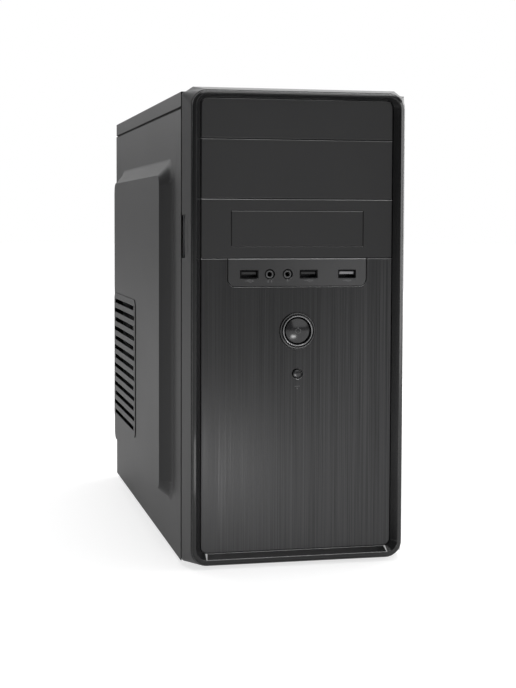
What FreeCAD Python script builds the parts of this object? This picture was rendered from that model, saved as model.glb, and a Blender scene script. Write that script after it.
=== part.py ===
"""Desktop computer tower: a micro-ATX steel chassis with a moulded front bezel and the working parts inside.

The frame is +Z up and +X to the right of someone facing the front, which looks along -Y. The origin is on the floor
under the centre of the whole tower. Every length is in millimetres. Each sub-part is written to parts/NODE.step.
"""

import FreeCAD, Part
import os
from math import atan2, cos, pi, radians, sin, sqrt, tan
from FreeCAD import Vector

# ---------------------------------------------------------------- driving dimensions

# Overall steel box
chassis_width = 170.0
chassis_height = 345.0
chassis_depth = 372.0
panel_bottom_z = 3.5
sheet = 0.7
slip = 0.3
seam_drop = 11.0
seam_line = 1.1

# Side panels: skin, raised field, louvred pad, clips and rear flange
field_height = 9.0
field_front = 47.0
field_rear_margin = 54.0
field_top_margin = 59.3
field_bottom_margin = 44.1
field_radius = 9.0
field_slope = 16.0
field_slope_ends = 13.0
field_slope_below = 9.0
field_foot_rounding = 10.0
vent_front = 175.0
vent_length = 140.0
vent_bottom = 64.4
vent_pad_rise = 0.7
vent_count = 13
vent_pitch = 8.68
vent_slot_height = 3.9
vent_slot_inset = 8.0
vent_slot_step = 4.0
clip_length = 22.0
clip_reach = 7.0
rail_height = 12.0
rear_flange_width = 12.0
thumbscrew_head_radius = 6.0
thumbscrew_head_length = 8.0
thumbscrew_radius = 1.6
thumbscrew_length = 7.0
thumbscrew_hole_slack = 0.3

# Bezel, seen from the front
bezel_depth = 18.0
rim_side_inset = 5.0
rim_rise = 0.0
rim_drop = 0.5
rim_radius = 11.5
rim_bead = 3.0
rim_bead_top = 2.5
rim_bead_bottom = 4.0
recess_depth = 5.8
recess_side = 4.2
recess_top = 2.3
recess_bottom = 3.5
frame_lip = 0.6
frame_front_step = 2.5
frame_wall = 2.4
brow_rise = 3.8
brow_inset = 7.8
web_thickness = 2.0
cover_thickness = 2.5
seam_gap = 0.5
clip_hook_length = 16.0
clip_hook_height = 8.0
clip_hook_thickness = 1.6
clip_hook_barb = 0.7
grip_height = 31.4
grip_depth = 6.3
grip_top_z = 259.0
grip_slit_depth = 10.0
grip_slit_width = 1.0

# Drive bays behind the covers
bay_pitch = 43.5
bay_count = 2
top_cover_height = 29.4
bay_inner_width = 148.5
bay_cage_depth = 158.0
bay_hole_spacing = 79.25
bay_slot_setback = 40.0
bay_slot_height = 11.7
bay_slot_length = 22.0
bay_slot_radius = 2.0
small_bay_width = 100.0
small_bay_height = 26.0
small_bay_ledge = 1.5
small_cover_thickness = 1.2
cover_tab_length = 6.0
cover_tab_thickness = 1.5

# Front ports and buttons
port_plate_width = 105.0
port_plate_height = 20.6
port_plate_radius = 5.5
port_height_z = 14.6
usb_width = 13.1
usb_height = 5.8
usb_length = 14.0
usb_wall = 0.4
usb_places = (-36.6, 8.4, 37.8)
jack_places = (-21.1, -7.6)
jack_nose_radius = 3.7
jack_bore_radius = 1.8
jack_bore_length = 14.0
power_drop = 53.5
power_ring_radius = 13.5
power_cap_radius = 9.8
power_dome = 1.5
power_travel = 2.0
reset_drop = 85.3
reset_cap_radius = 2.95
reset_travel = 1.5
button_gap = 0.35

# Front wall and switch board
front_wall_setback = 3.0
switch_board_gap = 8.0
board_thickness = 1.6
switch_body = 6.0
switch_body_height = 3.5
plunger_radius = 1.6

# Power supply
psu_width = 150.0
psu_height = 86.0
psu_depth = 140.0
psu_wall = 0.8
psu_fan_size = 120.0
fan_thickness = 25.0
inlet_width = 27.0
inlet_height = 20.0
inlet_depth = 18.0
rocker_width = 10.0
rocker_height = 15.0
rocker_throw = 16.0

# Motherboard and what stands on it
tray_setback = 17.0
standoff_height = 6.5
standoff_radius = 2.6
mainboard_height = 244.0
mainboard_depth = 201.0
mainboard_foot = 6.0
port_bay_width = 44.0
port_bay_height = 158.0
slot_pitch = 20.32
slot_count = 4
slot_cover_length = 118.0
slot_cover_width = 18.4
socket_drop = 66.0
socket_behind = 112.0
socket_size = 42.0
cooler_size = 80.0
cooler_base = 5.0
cooler_fin_height = 28.0
memory_length = 133.0
memory_height = 30.0

# Rear fan and drives
rear_fan_size = 80.0
disk_width = 101.6
disk_height = 26.1
disk_depth = 147.0
disk_slots = 2
disk_slot_pitch = 34.0
disk_lift = 4.0
disk_hole_height = 6.35
disk_hole_setback = 28.5
disk_hole_spacing = 41.6
port_headroom = 34.0

# Feet and leads
foot_radius = 11.0
foot_inset = 24.0
power_lead_radius = 5.0
signal_lead_radius = 2.2

# ---------------------------------------------------------------- places worked out from them

thumbscrew_stand = slip + sheet + thumbscrew_head_length
y_front = -(bezel_depth + chassis_depth + thumbscrew_stand) / 2 + bezel_depth
y_rear = y_front + chassis_depth
x_side = chassis_width / 2
z_top = panel_bottom_z + chassis_height
z_seam = z_top - seam_drop
x_skin = x_side - sheet
x_flange = x_skin - slip - 0.1
x_inner = x_flange - sheet
z_pan = panel_bottom_z + sheet + slip
z_floor = z_pan + sheet
z_roof = z_top - sheet

y_rim = y_front - bezel_depth
y_face = y_rim + recess_depth
y_web = y_face + cover_thickness + slip
y_web_back = y_web + web_thickness
y_wall = y_front + front_wall_setback
y_wall_back = y_wall + sheet

rim_x = x_side - rim_side_inset
rim_z = (panel_bottom_z - rim_drop, z_top + rim_rise)
face_x = rim_x - rim_bead - recess_side
face_z = (rim_z[0] + rim_bead_bottom + recess_bottom, rim_z[1] - rim_bead_top - recess_top)
face_radius = rim_radius - rim_bead - recess_side + 1.0
z_line_top = face_z[1] - top_cover_height
z_line_middle = z_line_top - bay_pitch
z_line_low = z_line_middle - bay_pitch
z_ports = z_line_low - port_height_z + usb_height / 2
z_power = z_line_low - power_drop
z_reset = z_line_low - reset_drop

y_rear_inner = y_rear - sheet
psu_top = z_roof - 2 * slip
psu_bottom = psu_top - psu_height
psu_front = y_rear_inner - psu_depth
x_tray = x_side - tray_setback
x_board = x_tray - standoff_height
x_board_face = x_board - board_thickness
board_y = (y_rear_inner - 4.0 - mainboard_depth, y_rear_inner - 4.0)
board_z = (z_floor + mainboard_foot, z_floor + mainboard_foot + mainboard_height)
slot_z = [board_z[0] + 12.0 + slot_pitch * i for i in range(slot_count)]
socket_y = y_rear_inner - socket_behind
socket_z = board_z[1] - socket_drop
cage_z = z_line_low - 5.5
disk_cage_bottom = cage_z - sheet - port_headroom - disk_slots * disk_slot_pitch


# ---------------------------------------------------------------- shapes used by several parts


def box(x, y, z):
    """A block between the two ends of each span."""
    (x0, x1), (y0, y1), (z0, z1) = sorted(x), sorted(y), sorted(z)
    return Part.makeBox(x1 - x0, y1 - y0, z1 - z0, Vector(x0, y0, z0))


def rod(radius, start, end):
    """A round bar from one point to another."""
    a, b = Vector(*start), Vector(*end)
    return Part.makeCylinder(radius, (b - a).Length, a, b - a)


def join(*shapes):
    """One solid from pieces that touch or overlap."""
    first, *rest = shapes
    return first.fuse(rest).removeSplitter() if rest else first


def centred(centre, size):
    """The span of a length about its middle."""
    return (centre - size / 2, centre + size / 2)


def grown(span, by):
    """A span made longer by the same amount at each end."""
    return (span[0] - by, span[1] + by)


def rounded_loop(across, up, radii, place):
    """A closed outline with round corners, from low-left anticlockwise; place puts (across, up) in space."""
    (a0, a1), (u0, u1) = across, up
    corners = [(a0, u0, 1, 1), (a1, u0, -1, 1), (a1, u1, -1, -1), (a0, u1, 1, -1)]
    turns = []
    for (a, u, da, du), r in zip(corners, radii):
        along, upward, middle = (a + da * r, u), (a, u + du * r), r * (1 - sqrt(0.5))
        ends = (upward, along) if da == du else (along, upward)
        turns.append((ends[0], (a + da * middle, u + du * middle), ends[1], r))
    edges = []
    for i, (start, middle, end, r) in enumerate(turns):
        if r:
            edges.append(Part.Arc(place(*start), place(*middle), place(*end)).toShape())
        edges.append(Part.LineSegment(place(*end), place(*turns[(i + 1) % 4][0])).toShape())
    return Part.Wire(edges)


def facing_y(y):
    return lambda a, u: Vector(a, y, u)


def facing_x(x):
    return lambda a, u: Vector(x, a, u)


def facing_z(z):
    return lambda a, u: Vector(a, u, z)


def front_plate(x, y, z, radii):
    """A plate that faces the front, with its own radius at each corner."""
    radii = radii if isinstance(radii, tuple) else (radii,) * 4
    face = Part.Face(rounded_loop(x, z, radii, facing_y(y[0])))
    return face.extrude(Vector(0, y[1] - y[0], 0))


def side_plate(x, y, z, radius):
    """A plate that faces sideways, with round corners."""
    return Part.Face(rounded_loop(y, z, (radius,) * 4, facing_x(x[0]))).extrude(Vector(x[1] - x[0], 0, 0))


def loft(*wires):
    return Part.makeLoft(list(wires), True, True)


def turned(profile, centre, direction=Vector(0, 1, 0)):
    """A round part from (radius, distance along the axis) points, turned about the axis through centre."""
    points = [Vector(r, 0, d) for r, d in profile]
    solid = Part.Face(Part.makePolygon(points + points[:1])).revolve(Vector(0, 0, 0), Vector(0, 0, 1), 360)
    solid.Placement = FreeCAD.Placement(Vector(*centre), FreeCAD.Rotation(Vector(0, 0, 1), direction))
    return solid


def hex_holes(across, up, pitch, flat, keep):
    """Honeycomb cutters through a wall that faces front or back; keep says which centres are wanted."""
    rows = int((up[1] - up[0]) / (pitch * sqrt(0.75))) + 1
    columns = int((across[1] - across[0]) / pitch) + 1
    for row in range(rows):
        u = up[0] + row * pitch * sqrt(0.75)
        for column in range(columns):
            a = across[0] + (column + 0.5 * (row % 2)) * pitch
            if keep(a, u):
                yield a, u, flat / sqrt(3)


def hex_prism(a, u, radius, span, place):
    """A six-sided bar standing on the plane that place gives."""
    ring = [(a + radius * cos(radians(30 + 60 * k)), u + radius * sin(radians(30 + 60 * k))) for k in range(6)]
    points = [place(span[0])(*p) for p in ring]
    height = place(span[1])(0, 0) - place(span[0])(0, 0)
    return Part.Face(Part.makePolygon(points + points[:1])).extrude(height)


def tube(points, radius):
    """A lead: straight runs joined by arcs as large as the runs allow."""
    stops = [Vector(*p) for p in points]
    edges, here = [], stops[0]
    for before, corner, after in zip(stops, stops[1:], stops[2:]):
        back, on = (before - corner), (after - corner)
        cut = 0.45 * min(back.Length, on.Length)
        back.normalize()
        on.normalize()
        start, end = corner + back * cut, corner + on * cut
        half_turn = (pi - back.getAngle(on)) / 2
        bend = cut / tan(half_turn)
        centre = corner + (back + on).normalize() * (bend / cos(half_turn))
        middle = centre + (corner - centre).normalize() * bend
        print("lead radius", radius, "bend", round(bend, 1))
        edges.append(Part.LineSegment(here, start).toShape())
        edges.append(Part.Arc(start, middle, end).toShape())
        here = end
    edges.append(Part.LineSegment(here, stops[-1]).toShape())
    section = Part.Wire(Part.Circle(stops[0], stops[1] - stops[0], radius).toShape())
    path = Part.Wire(edges)
    solid = path.makePipeShell([section], True, False)
    print("lead volume over section times length", round(solid.Volume / (pi * radius**2 * path.Length), 4))
    return solid


def screw(place, direction, radius, length, head_radius, head_height):
    """A pan-head screw whose head seats at place and whose shank runs along direction."""
    along = Vector(*direction)
    seat = Vector(*place)
    shank = Part.makeCylinder(radius, length, seat, along)
    head = Part.makeCylinder(head_radius, head_height, seat - along * head_height, along)
    slot = Part.makeBox(head_radius * 2, 0.8, head_height / 2)
    slot.translate(Vector(-head_radius, -0.4, 0))
    slot.Placement = FreeCAD.Placement(
        seat - along * head_height, FreeCAD.Rotation(Vector(0, 0, 1), along)
    ).multiply(slot.Placement)
    return join(shank, head).cut(slot)


def save(name, *solids):
    """Writes one node: a single solid, or a group of separate ones."""
    pieces = [piece for solid in solids for piece in solid.Solids]
    shape = pieces[0] if len(pieces) == 1 else Part.makeCompound(pieces)
    valid = all(piece.isValid() and piece.Volume > 0 for piece in pieces)
    print(f"{name:26s} solids {len(pieces):3d} volume {shape.Volume:12.1f} {'' if valid else 'NOT VALID'}")
    shape.exportStep(f"parts/{name}.step")


os.makedirs("parts", exist_ok=True)


# ---------------------------------------------------------------- steel chassis

clip_y = [y_front + d for d in (24.0, chassis_depth / 2 - clip_length / 2, chassis_depth - 24.0 - clip_length)]
rail_low_z = z_pan + rail_height
rail_high_z = z_seam - rail_height
foot_places = [
    (sx * (x_side - foot_inset), y) for sx in (-1, 1) for y in (y_front + foot_inset + 6, y_rear - foot_inset - 6)
]
foot_plug_radius = 3.0


def bottom_pan():
    """Folded floor with a turned-up rail along each side, pierced for the feet and vents."""
    floor = box((-x_flange, x_flange), (y_wall, y_rear_inner), (z_pan, z_floor))
    rails = [
        box((s * x_inner, s * x_flange), (y_wall, y_rear_inner), (z_pan, rail_low_z)) for s in (-1, 1)
    ]
    holes = [
        rod(foot_plug_radius + 0.2, (x, y, z_pan - 1), (x, y, z_floor + 1)) for x, y in foot_places
    ]
    vents = [
        box(centred(0, 70.0), centred(y_front + 60.0 + 9.0 * i, 3.5), (z_pan - 1, z_floor + 1)) for i in range(8)
    ]
    return join(floor, *rails).cut(holes + vents)


def roof():
    """Top cover: flat roof, visible side flanges, and the rails that the side panels clip behind."""
    length = (y_front + slip, y_rear)
    top = box((-x_side, x_side), length, (z_roof, z_top))
    sides = []
    for s in (-1, 1):
        sides.append(box((s * x_skin, s * x_side), length, (z_seam, z_top)))
        sides.append(box((s * x_inner, s * x_side), length, (z_seam, z_seam + sheet)))
        sides.append(box((s * x_inner, s * x_flange), length, (rail_high_z, z_seam + sheet)))
    return join(top, *sides)


def hook_slot(x, z):
    """Hole in the front wall that a bezel hook snaps through."""
    return box(
        centred(x, clip_hook_thickness + 2 * clip_hook_barb + 1.2),
        (y_wall - 1, y_wall_back + 1),
        centred(z, clip_hook_height + 1.2),
    )


hook_places = [(s * (x_side - 8.0), z) for s in (-1, 1) for z in (z_floor + 22.0, z_power - 10.0, z_roof - 22.0)]
bay_window_x = (-bay_inner_width / 2, bay_inner_width / 2)
switch_board_z = (z_reset - 12.0, z_power + 18.0)
switch_post_z = (switch_board_z[0] + 4.0, switch_board_z[1] - 4.0)
port_board_z = z_ports - usb_height / 2
bracket_z = port_board_z - board_thickness - 4.0
bracket_y_end = y_wall_back + 26.0
port_board_x = (-port_plate_width / 2 + 5.0, port_plate_width / 2 - 5.0)


def front_wall():
    """Pressed front panel behind the bezel, with the bay window, port window, switch holes and intake holes."""
    plate = box((-x_inner, x_inner), (y_wall, y_wall_back), (z_floor, z_roof))
    through = (y_wall - 1, y_wall_back + 1)
    cuts = [
        box(bay_window_x, through, (z_line_low + 2.0, z_line_top)),
        box(grown(port_board_x, 1.0), through, (port_board_z - board_thickness - 1.0, z_ports + 5.0)),
        rod(power_cap_radius + 3.0, (0, y_wall - 1, z_power), (0, y_wall_back + 1, z_power)),
        rod(reset_cap_radius + 3.0, (0, y_wall - 1, z_reset), (0, y_wall_back + 1, z_reset)),
    ]
    cuts += [hook_slot(x, z) for x, z in hook_places]
    intake = hex_holes((-50.0, 50.0), (z_floor + 18.0, z_reset - 22.0), 9.0, 6.5, lambda a, u: abs(a) < 52.0)
    cuts += [hex_prism(a, u, r, through, facing_y) for a, u, r in intake]
    return plate.cut(cuts)


rear_fan_x = -x_inner + 10.0 + rear_fan_size / 2
rear_fan_z = psu_bottom - 10.0 - rear_fan_size / 2
fan_hole_pitch = {80.0: 71.5, 120.0: 105.0}
rear_fan_pitch = fan_hole_pitch.get(rear_fan_size, rear_fan_size * 0.89)
port_bay_x = (x_board_face - port_bay_width + 2.5, x_board_face + 2.5)
port_bay_z = (board_z[1] - port_bay_height, board_z[1])
slot_cover_x = (x_board + 4.0 - slot_cover_length, x_board + 4.0)
psu_screws = [(sx * (psu_width / 2 - 6.0), z) for sx in (-1, 1) for z in (psu_bottom + 6.0, psu_top - 16.0)]
rear_fan_screws = [
    (rear_fan_x + sx * rear_fan_pitch / 2, rear_fan_z + sz * rear_fan_pitch / 2) for sx in (-1, 1) for sz in (-1, 1)
]
slot_screws = [(slot_cover_x[0] + 5.0, z) for z in slot_z]
thumbscrew_x = x_side - 7.5
thumbscrew_places = [(s * thumbscrew_x, z) for s in (-1, 1) for z in (z_floor + 55.0, psu_bottom + 12.0)]
small_screw_radius = 1.45
small_screw_hole = 1.6


def rear_wall():
    """Back panel with openings for the supply, port shield, fan grille and expansion slots."""
    plate = box((-x_inner, x_inner), (y_rear_inner, y_rear), (z_pan, z_roof))
    through = (y_rear_inner - 1, y_rear + 1)
    cuts = [
        box(centred(0, psu_width - 22.0), through, (psu_bottom + 4.0, psu_top - 4.0)),
        box(grown(port_bay_x, -1.5), through, grown(port_bay_z, -1.5)),
    ]
    cuts += [box((slot_cover_x[0] + 12.0, slot_cover_x[1] - 6.0), through, centred(z, 13.0)) for z in slot_z]
    for s in (-1, 1):
        edge = (s * (x_inner - 2.2), s * (x_inner + 1))
        cuts.append(box(edge, through, (rail_low_z - clip_reach - 0.5, rail_low_z + sheet + 1.0)))
        cuts.append(box(edge, through, (rail_high_z - sheet - 1.0, rail_high_z + clip_reach + 0.5)))
    holes = [(x, z, small_screw_hole) for x, z in psu_screws + rear_fan_screws + slot_screws]
    holes += [(x, z, thumbscrew_radius + thumbscrew_hole_slack) for x, z in thumbscrew_places]
    cuts += [rod(r, (x, through[0], z), (x, through[1], z)) for x, z, r in holes]
    reach = rear_fan_size / 2 - 3.5

    def in_grille(a, u):
        return (a - rear_fan_x) ** 2 + (u - rear_fan_z) ** 2 < reach**2

    span = (-rear_fan_size / 2, rear_fan_size / 2)
    grille = hex_holes(
        tuple(rear_fan_x + v for v in span), tuple(rear_fan_z + v for v in span), 7.0, 5.6, in_grille
    )
    cuts += [hex_prism(a, u, r, through, facing_y) for a, u, r in grille]
    return plate.cut(cuts)


tray_y = (board_y[0] - 4.0, y_rear_inner)
tray_z = (z_floor, psu_bottom - 2.0)
standoff_places = [
    (y, z)
    for y in (board_y[0] + 6.0, (board_y[0] + board_y[1]) / 2, board_y[1] - 10.0)
    for z in (board_z[0] + 6.0, (board_z[0] + board_z[1]) / 2 - 10.0, board_z[1] - 8.0)
]


def mainboard_tray():
    """Upright sheet that carries the mainboard, with a cooler cut-out and a foot flange."""
    plate = box((x_tray, x_tray + sheet), tray_y, tray_z)
    foot = box((x_tray, x_tray + 12.0), tray_y, (z_floor, z_floor + sheet))
    back = box((x_tray, thumbscrew_x - thumbscrew_radius - 1.0), (tray_y[1] - sheet, tray_y[1]), tray_z)
    window = side_plate(
        (x_tray - 1, x_tray + sheet + 1), centred(socket_y, 90.0), centred(socket_z, 90.0), 8.0
    )
    holes = [rod(small_screw_hole, (x_tray - 1, y, z), (x_tray + sheet + 1, y, z)) for y, z in standoff_places]
    return join(plate, foot, back).cut([window] + holes)


def standoffs():
    """Threaded brass pillars between the tray and the mainboard."""
    for y, z in standoff_places:
        pillar = rod(standoff_radius, (x_board, y, z), (x_tray, y, z))
        stud = rod(small_screw_radius, (x_tray, y, z), (x_tray + 3.0, y, z))
        bore = rod(small_screw_radius, (x_board - 1, y, z), (x_board + 4.5, y, z))
        yield join(pillar, stud).cut(bore)


cage_x = bay_inner_width / 2
cage_y = (y_wall_back, y_wall_back + bay_cage_depth)
cage_top = z_roof
bay_slot_y = (cage_y[0] + bay_slot_setback, cage_y[0] + bay_slot_setback + bay_hole_spacing)


def optical_bay_cage():
    """Riveted cage for two wide drives: two walls that hang from the roof, and a shelf between them."""
    walls = []
    for s in (-1, 1):
        walls.append(box((s * cage_x, s * (cage_x + sheet)), cage_y, (cage_z, cage_top)))
        walls.append(box((s * (cage_x - 9.0), s * (cage_x + sheet)), cage_y, (cage_top - sheet, cage_top)))
    shelf = box((-cage_x - sheet, cage_x + sheet), cage_y, (cage_z - sheet, cage_z))
    ledges = []
    for s in (-1, 1):
        for z in (z_line_low, z_line_middle):
            ledges.append(box((s * (cage_x - 1.0), s * cage_x), grown(cage_y, -8.0), (z + 1.0, z + 1.0 + sheet)))
    slots = []
    half = (bay_slot_length - 2 * bay_slot_radius) / 2
    for z in (z_line_low + bay_slot_height, z_line_middle + bay_slot_height):
        for y in bay_slot_y:
            for s in (-1, 1):
                wall = (s * (cage_x - 2), s * (cage_x + 2))
                slots += [rod(bay_slot_radius, (wall[0], y + e, z), (wall[1], y + e, z)) for e in (-half, half)]
                slots.append(box(wall, (y - half, y + half), centred(z, 2 * bay_slot_radius)))
    return join(shelf, *walls, *ledges).cut(slots)


disk_cage_x = disk_width / 2 + 0.6
disk_cage_y = (y_wall_back + 8.0, y_wall_back + 8.0 + 128.0)
disk_y = (disk_cage_y[0] + 6.0, disk_cage_y[0] + 6.0 + disk_depth)
disk_z0 = disk_cage_bottom + disk_slot_pitch + disk_lift
disk_screw_y = (disk_y[0] + disk_hole_setback, disk_y[0] + disk_hole_setback + disk_hole_spacing)


def disk_cage():
    """Narrow cage under the wide one for hard disks, with a floor that ties its walls."""
    height = (disk_cage_bottom, cage_z - sheet)
    walls = [box((s * disk_cage_x, s * (disk_cage_x + sheet)), disk_cage_y, height) for s in (-1, 1)]
    tops = [
        box((s * disk_cage_x, s * (disk_cage_x + 9.0)), disk_cage_y, (height[1] - sheet, height[1]))
        for s in (-1, 1)
    ]
    floor = box((-disk_cage_x, disk_cage_x), disk_cage_y, (height[0], height[0] + sheet))
    holes = []
    for i in range(disk_slots):
        z = disk_cage_bottom + i * disk_slot_pitch + disk_lift + disk_hole_height
        for y in disk_screw_y:
            holes.append(rod(1.9, (-disk_cage_x - 2, y, z), (disk_cage_x + 2, y, z)))
    vents = [
        box((-disk_cage_x - 2, disk_cage_x + 2), centred(disk_cage_y[0] + 64.0, 60.0), (z + 16.0, z + 22.0))
        for z in (disk_cage_bottom + i * disk_slot_pitch for i in range(disk_slots))
    ]
    return join(floor, *walls, *tops).cut(holes + vents)


def feet():
    """Moulded feet, each with a plug that snaps into the pan."""
    for x, y in foot_places:
        pad = turned(
            [(0, 0), (foot_radius - 1.5, 0), (foot_radius, 1.5), (foot_radius - 1.0, z_pan), (0, z_pan)],
            (x, y, 0),
            Vector(0, 0, 1),
        )
        yield join(pad, rod(foot_plug_radius, (x, y, z_pan - 1), (x, y, z_floor + 2.0)))


save("bottom_pan", bottom_pan())
save("roof_cover", roof())
save("front_wall", front_wall())
save("rear_wall", rear_wall())
save("mainboard_tray", mainboard_tray())
save("board_standoffs", *standoffs())
save("optical_bay_cage", optical_bay_cage())
save("disk_cage", disk_cage())
save("feet", *feet())

# ---------------------------------------------------------------- side panels

panel_y = (y_front + 2 * slip, y_rear + slip + sheet)
panel_z = (panel_bottom_z, z_seam - seam_line)
field_y = (y_front + field_front, y_rear - field_rear_margin)
field_z = (panel_bottom_z + field_bottom_margin, z_top - field_top_margin)
vent_y = (y_front + vent_front, y_front + vent_front + vent_length)
vent_z = (panel_bottom_z + vent_bottom, panel_bottom_z + vent_bottom + vent_pitch * vent_count + 6.0)


def field_solid(s, top_x, base_x, inset):
    """The block under the raised field: a gentle foot, then a steeper wall up to the flat top."""
    foot = base_x + s * (field_height * 0.2)

    def ring(x, spread):
        y = (field_y[0] - field_slope * spread + inset, field_y[1] + field_slope_ends * spread - inset)
        z = (field_z[0] - field_slope_below * spread + inset, field_z[1] + field_slope_ends * spread - inset)
        return rounded_loop(y, z, (field_radius + field_foot_rounding * spread,) * 4, facing_x(x))

    return loft(ring(base_x, 1.0), ring(foot, 0.62), ring(top_x, 0.0))


def side_panel(s, vented):
    """One side: skin with a raised field, clips behind both rails, and a rear flange for the thumbscrews."""
    skin = box((s * x_skin, s * x_side), panel_y, panel_z)
    raised = field_solid(s, s * (x_side + field_height), s * (x_side - 0.01), 0.0)
    hollow = field_solid(s, s * (x_side + field_height - sheet), s * (x_skin - 0.01), sheet * 0.6)
    flange = box((s * (x_side - rear_flange_width), s * x_side), (panel_y[1] - sheet, panel_y[1]), panel_z)
    shape = join(skin, flange, raised).cut(hollow)
    clips = []
    for y in clip_y:
        span = (y, y + clip_length)
        behind = (s * (x_inner - slip), s * (x_inner - slip - sheet))
        for edge, way in ((rail_low_z, 1), (rail_high_z, -1)):
            bridge = edge + way * slip
            clips.append(box((s * x_skin, behind[1]), span, (bridge, bridge + way * sheet)))
            clips.append(box(behind, span, (bridge + way * sheet, edge - way * clip_reach)))
    shape = join(shape, *clips)
    if vented:
        pad_x = s * (x_side + field_height + vent_pad_rise)
        under = s * (x_side + field_height - sheet / 2)
        pad = side_plate((pad_x, under), vent_y, vent_z, 7.0)
        behind = side_plate(
            (pad_x - s * sheet, under - s * sheet), grown(vent_y, -sheet), grown(vent_z, -sheet), 7.0 - sheet
        )
        shape = join(shape, pad).cut(behind)
        slots = []
        for i in range(vent_count):
            z = vent_z[0] + 3.0 + vent_pitch * (i + 0.5)
            inset = vent_slot_inset - (vent_slot_step if i % 2 else 0)
            span = (pad_x + s, pad_x - s * (2 * sheet + 1))
            slots.append(side_plate(span, grown(vent_y, -inset), centred(z, vent_slot_height), 1.4))
        shape = shape.cut(slots)
    holes = [
        rod(thumbscrew_radius + thumbscrew_hole_slack, (x, panel_y[1] - 2, z), (x, panel_y[1] + 1, z))
        for x, z in thumbscrew_places
        if x * s > 0
    ]
    return shape.cut(holes)


def thumbscrews(s):
    """Knurled screws that hold the panel's rear flange to the rear wall."""
    for x, z in thumbscrew_places:
        if x * s > 0:
            seat, tip = panel_y[1], panel_y[1] - thumbscrew_length
            head = rod(thumbscrew_head_radius, (x, seat, z), (x, seat + thumbscrew_head_length, z))
            grooves = []
            for k in range(16):
                turn = radians(22.5 * k)
                gx, gz = x + thumbscrew_head_radius * cos(turn), z + thumbscrew_head_radius * sin(turn)
                grooves.append(rod(0.5, (gx, seat + 1.5, gz), (gx, seat + thumbscrew_head_length + 1, gz)))
            collar = rod(thumbscrew_radius, (x, tip, z), (x, seat + 1, z))
            recess = rod(2.6, (x, seat + thumbscrew_head_length - 1.2, z), (x, seat + 20.0, z))
            yield join(head.cut(grooves + [recess]), collar)


save("left_side_panel", side_panel(-1, True))
save("right_side_panel", side_panel(1, False))
save("left_thumbscrews", *thumbscrews(-1))
save("right_thumbscrews", *thumbscrews(1))

# ---------------------------------------------------------------- front bezel


def rim_void(y):
    """The recess inside the rim: flared walls down to the face, then straight back to depth y."""
    mouth_x = rim_x - rim_bead
    mouth_z = (rim_z[0] + rim_bead_bottom, rim_z[1] - rim_bead_top)
    mouth = rounded_loop((-mouth_x, mouth_x), mouth_z, (rim_radius - rim_bead,) * 4, facing_y(y_rim))
    bottom = rounded_loop((-face_x, face_x), face_z, (face_radius,) * 4, facing_y(y_face))
    back = front_plate((-face_x, face_x), (y_face, y), face_z, face_radius)
    return join(loft(mouth, bottom), back)


def bezel_rim():
    """Gloss moulding round the front: a bead, and flared walls down to the face of the covers."""
    block = front_plate((-rim_x, rim_x), (y_rim, y_web), rim_z, rim_radius)
    edges = [e for e in block.Edges if all(abs(v.Point.y - y_rim) < 1e-6 for v in e.Vertexes)]
    return block.makeFillet(1.3, edges).cut(rim_void(y_web + 1))


port_x = (-port_plate_width / 2, port_plate_width / 2)
port_z = (z_line_low - port_plate_height, z_line_low - seam_gap / 2)
cover_x = (-face_x + slip, face_x - slip)
window_x = (-cover_x[1] + small_bay_ledge, cover_x[1] - small_bay_ledge)
cover_lines = [z_line_low, z_line_middle, z_line_top, face_z[1] - slip + seam_gap / 2]


def brow(y_step):
    """Raised lip across the top of the bezel: highest at the seam, running out at the rim."""
    back_x, front_x = x_side - brow_inset, rim_x - rim_radius + 1.0
    spans = (
        (x_side - 0.6, z_top - 1.4, back_x, z_top + brow_rise, y_front),
        (rim_x - 4.0, rim_z[1] - 2.0, front_x, rim_z[1] + frame_lip + 0.05, y_step),
    )
    wires = []
    for low_x, low_z, high_x, high_z, y in spans:
        corners = [(-low_x, low_z), (low_x, low_z), (high_x, high_z), (-high_x, high_z), (-low_x, low_z)]
        wires.append(Part.makePolygon([Vector(x, y, z) for x, z in corners]))
    return loft(*wires)


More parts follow.
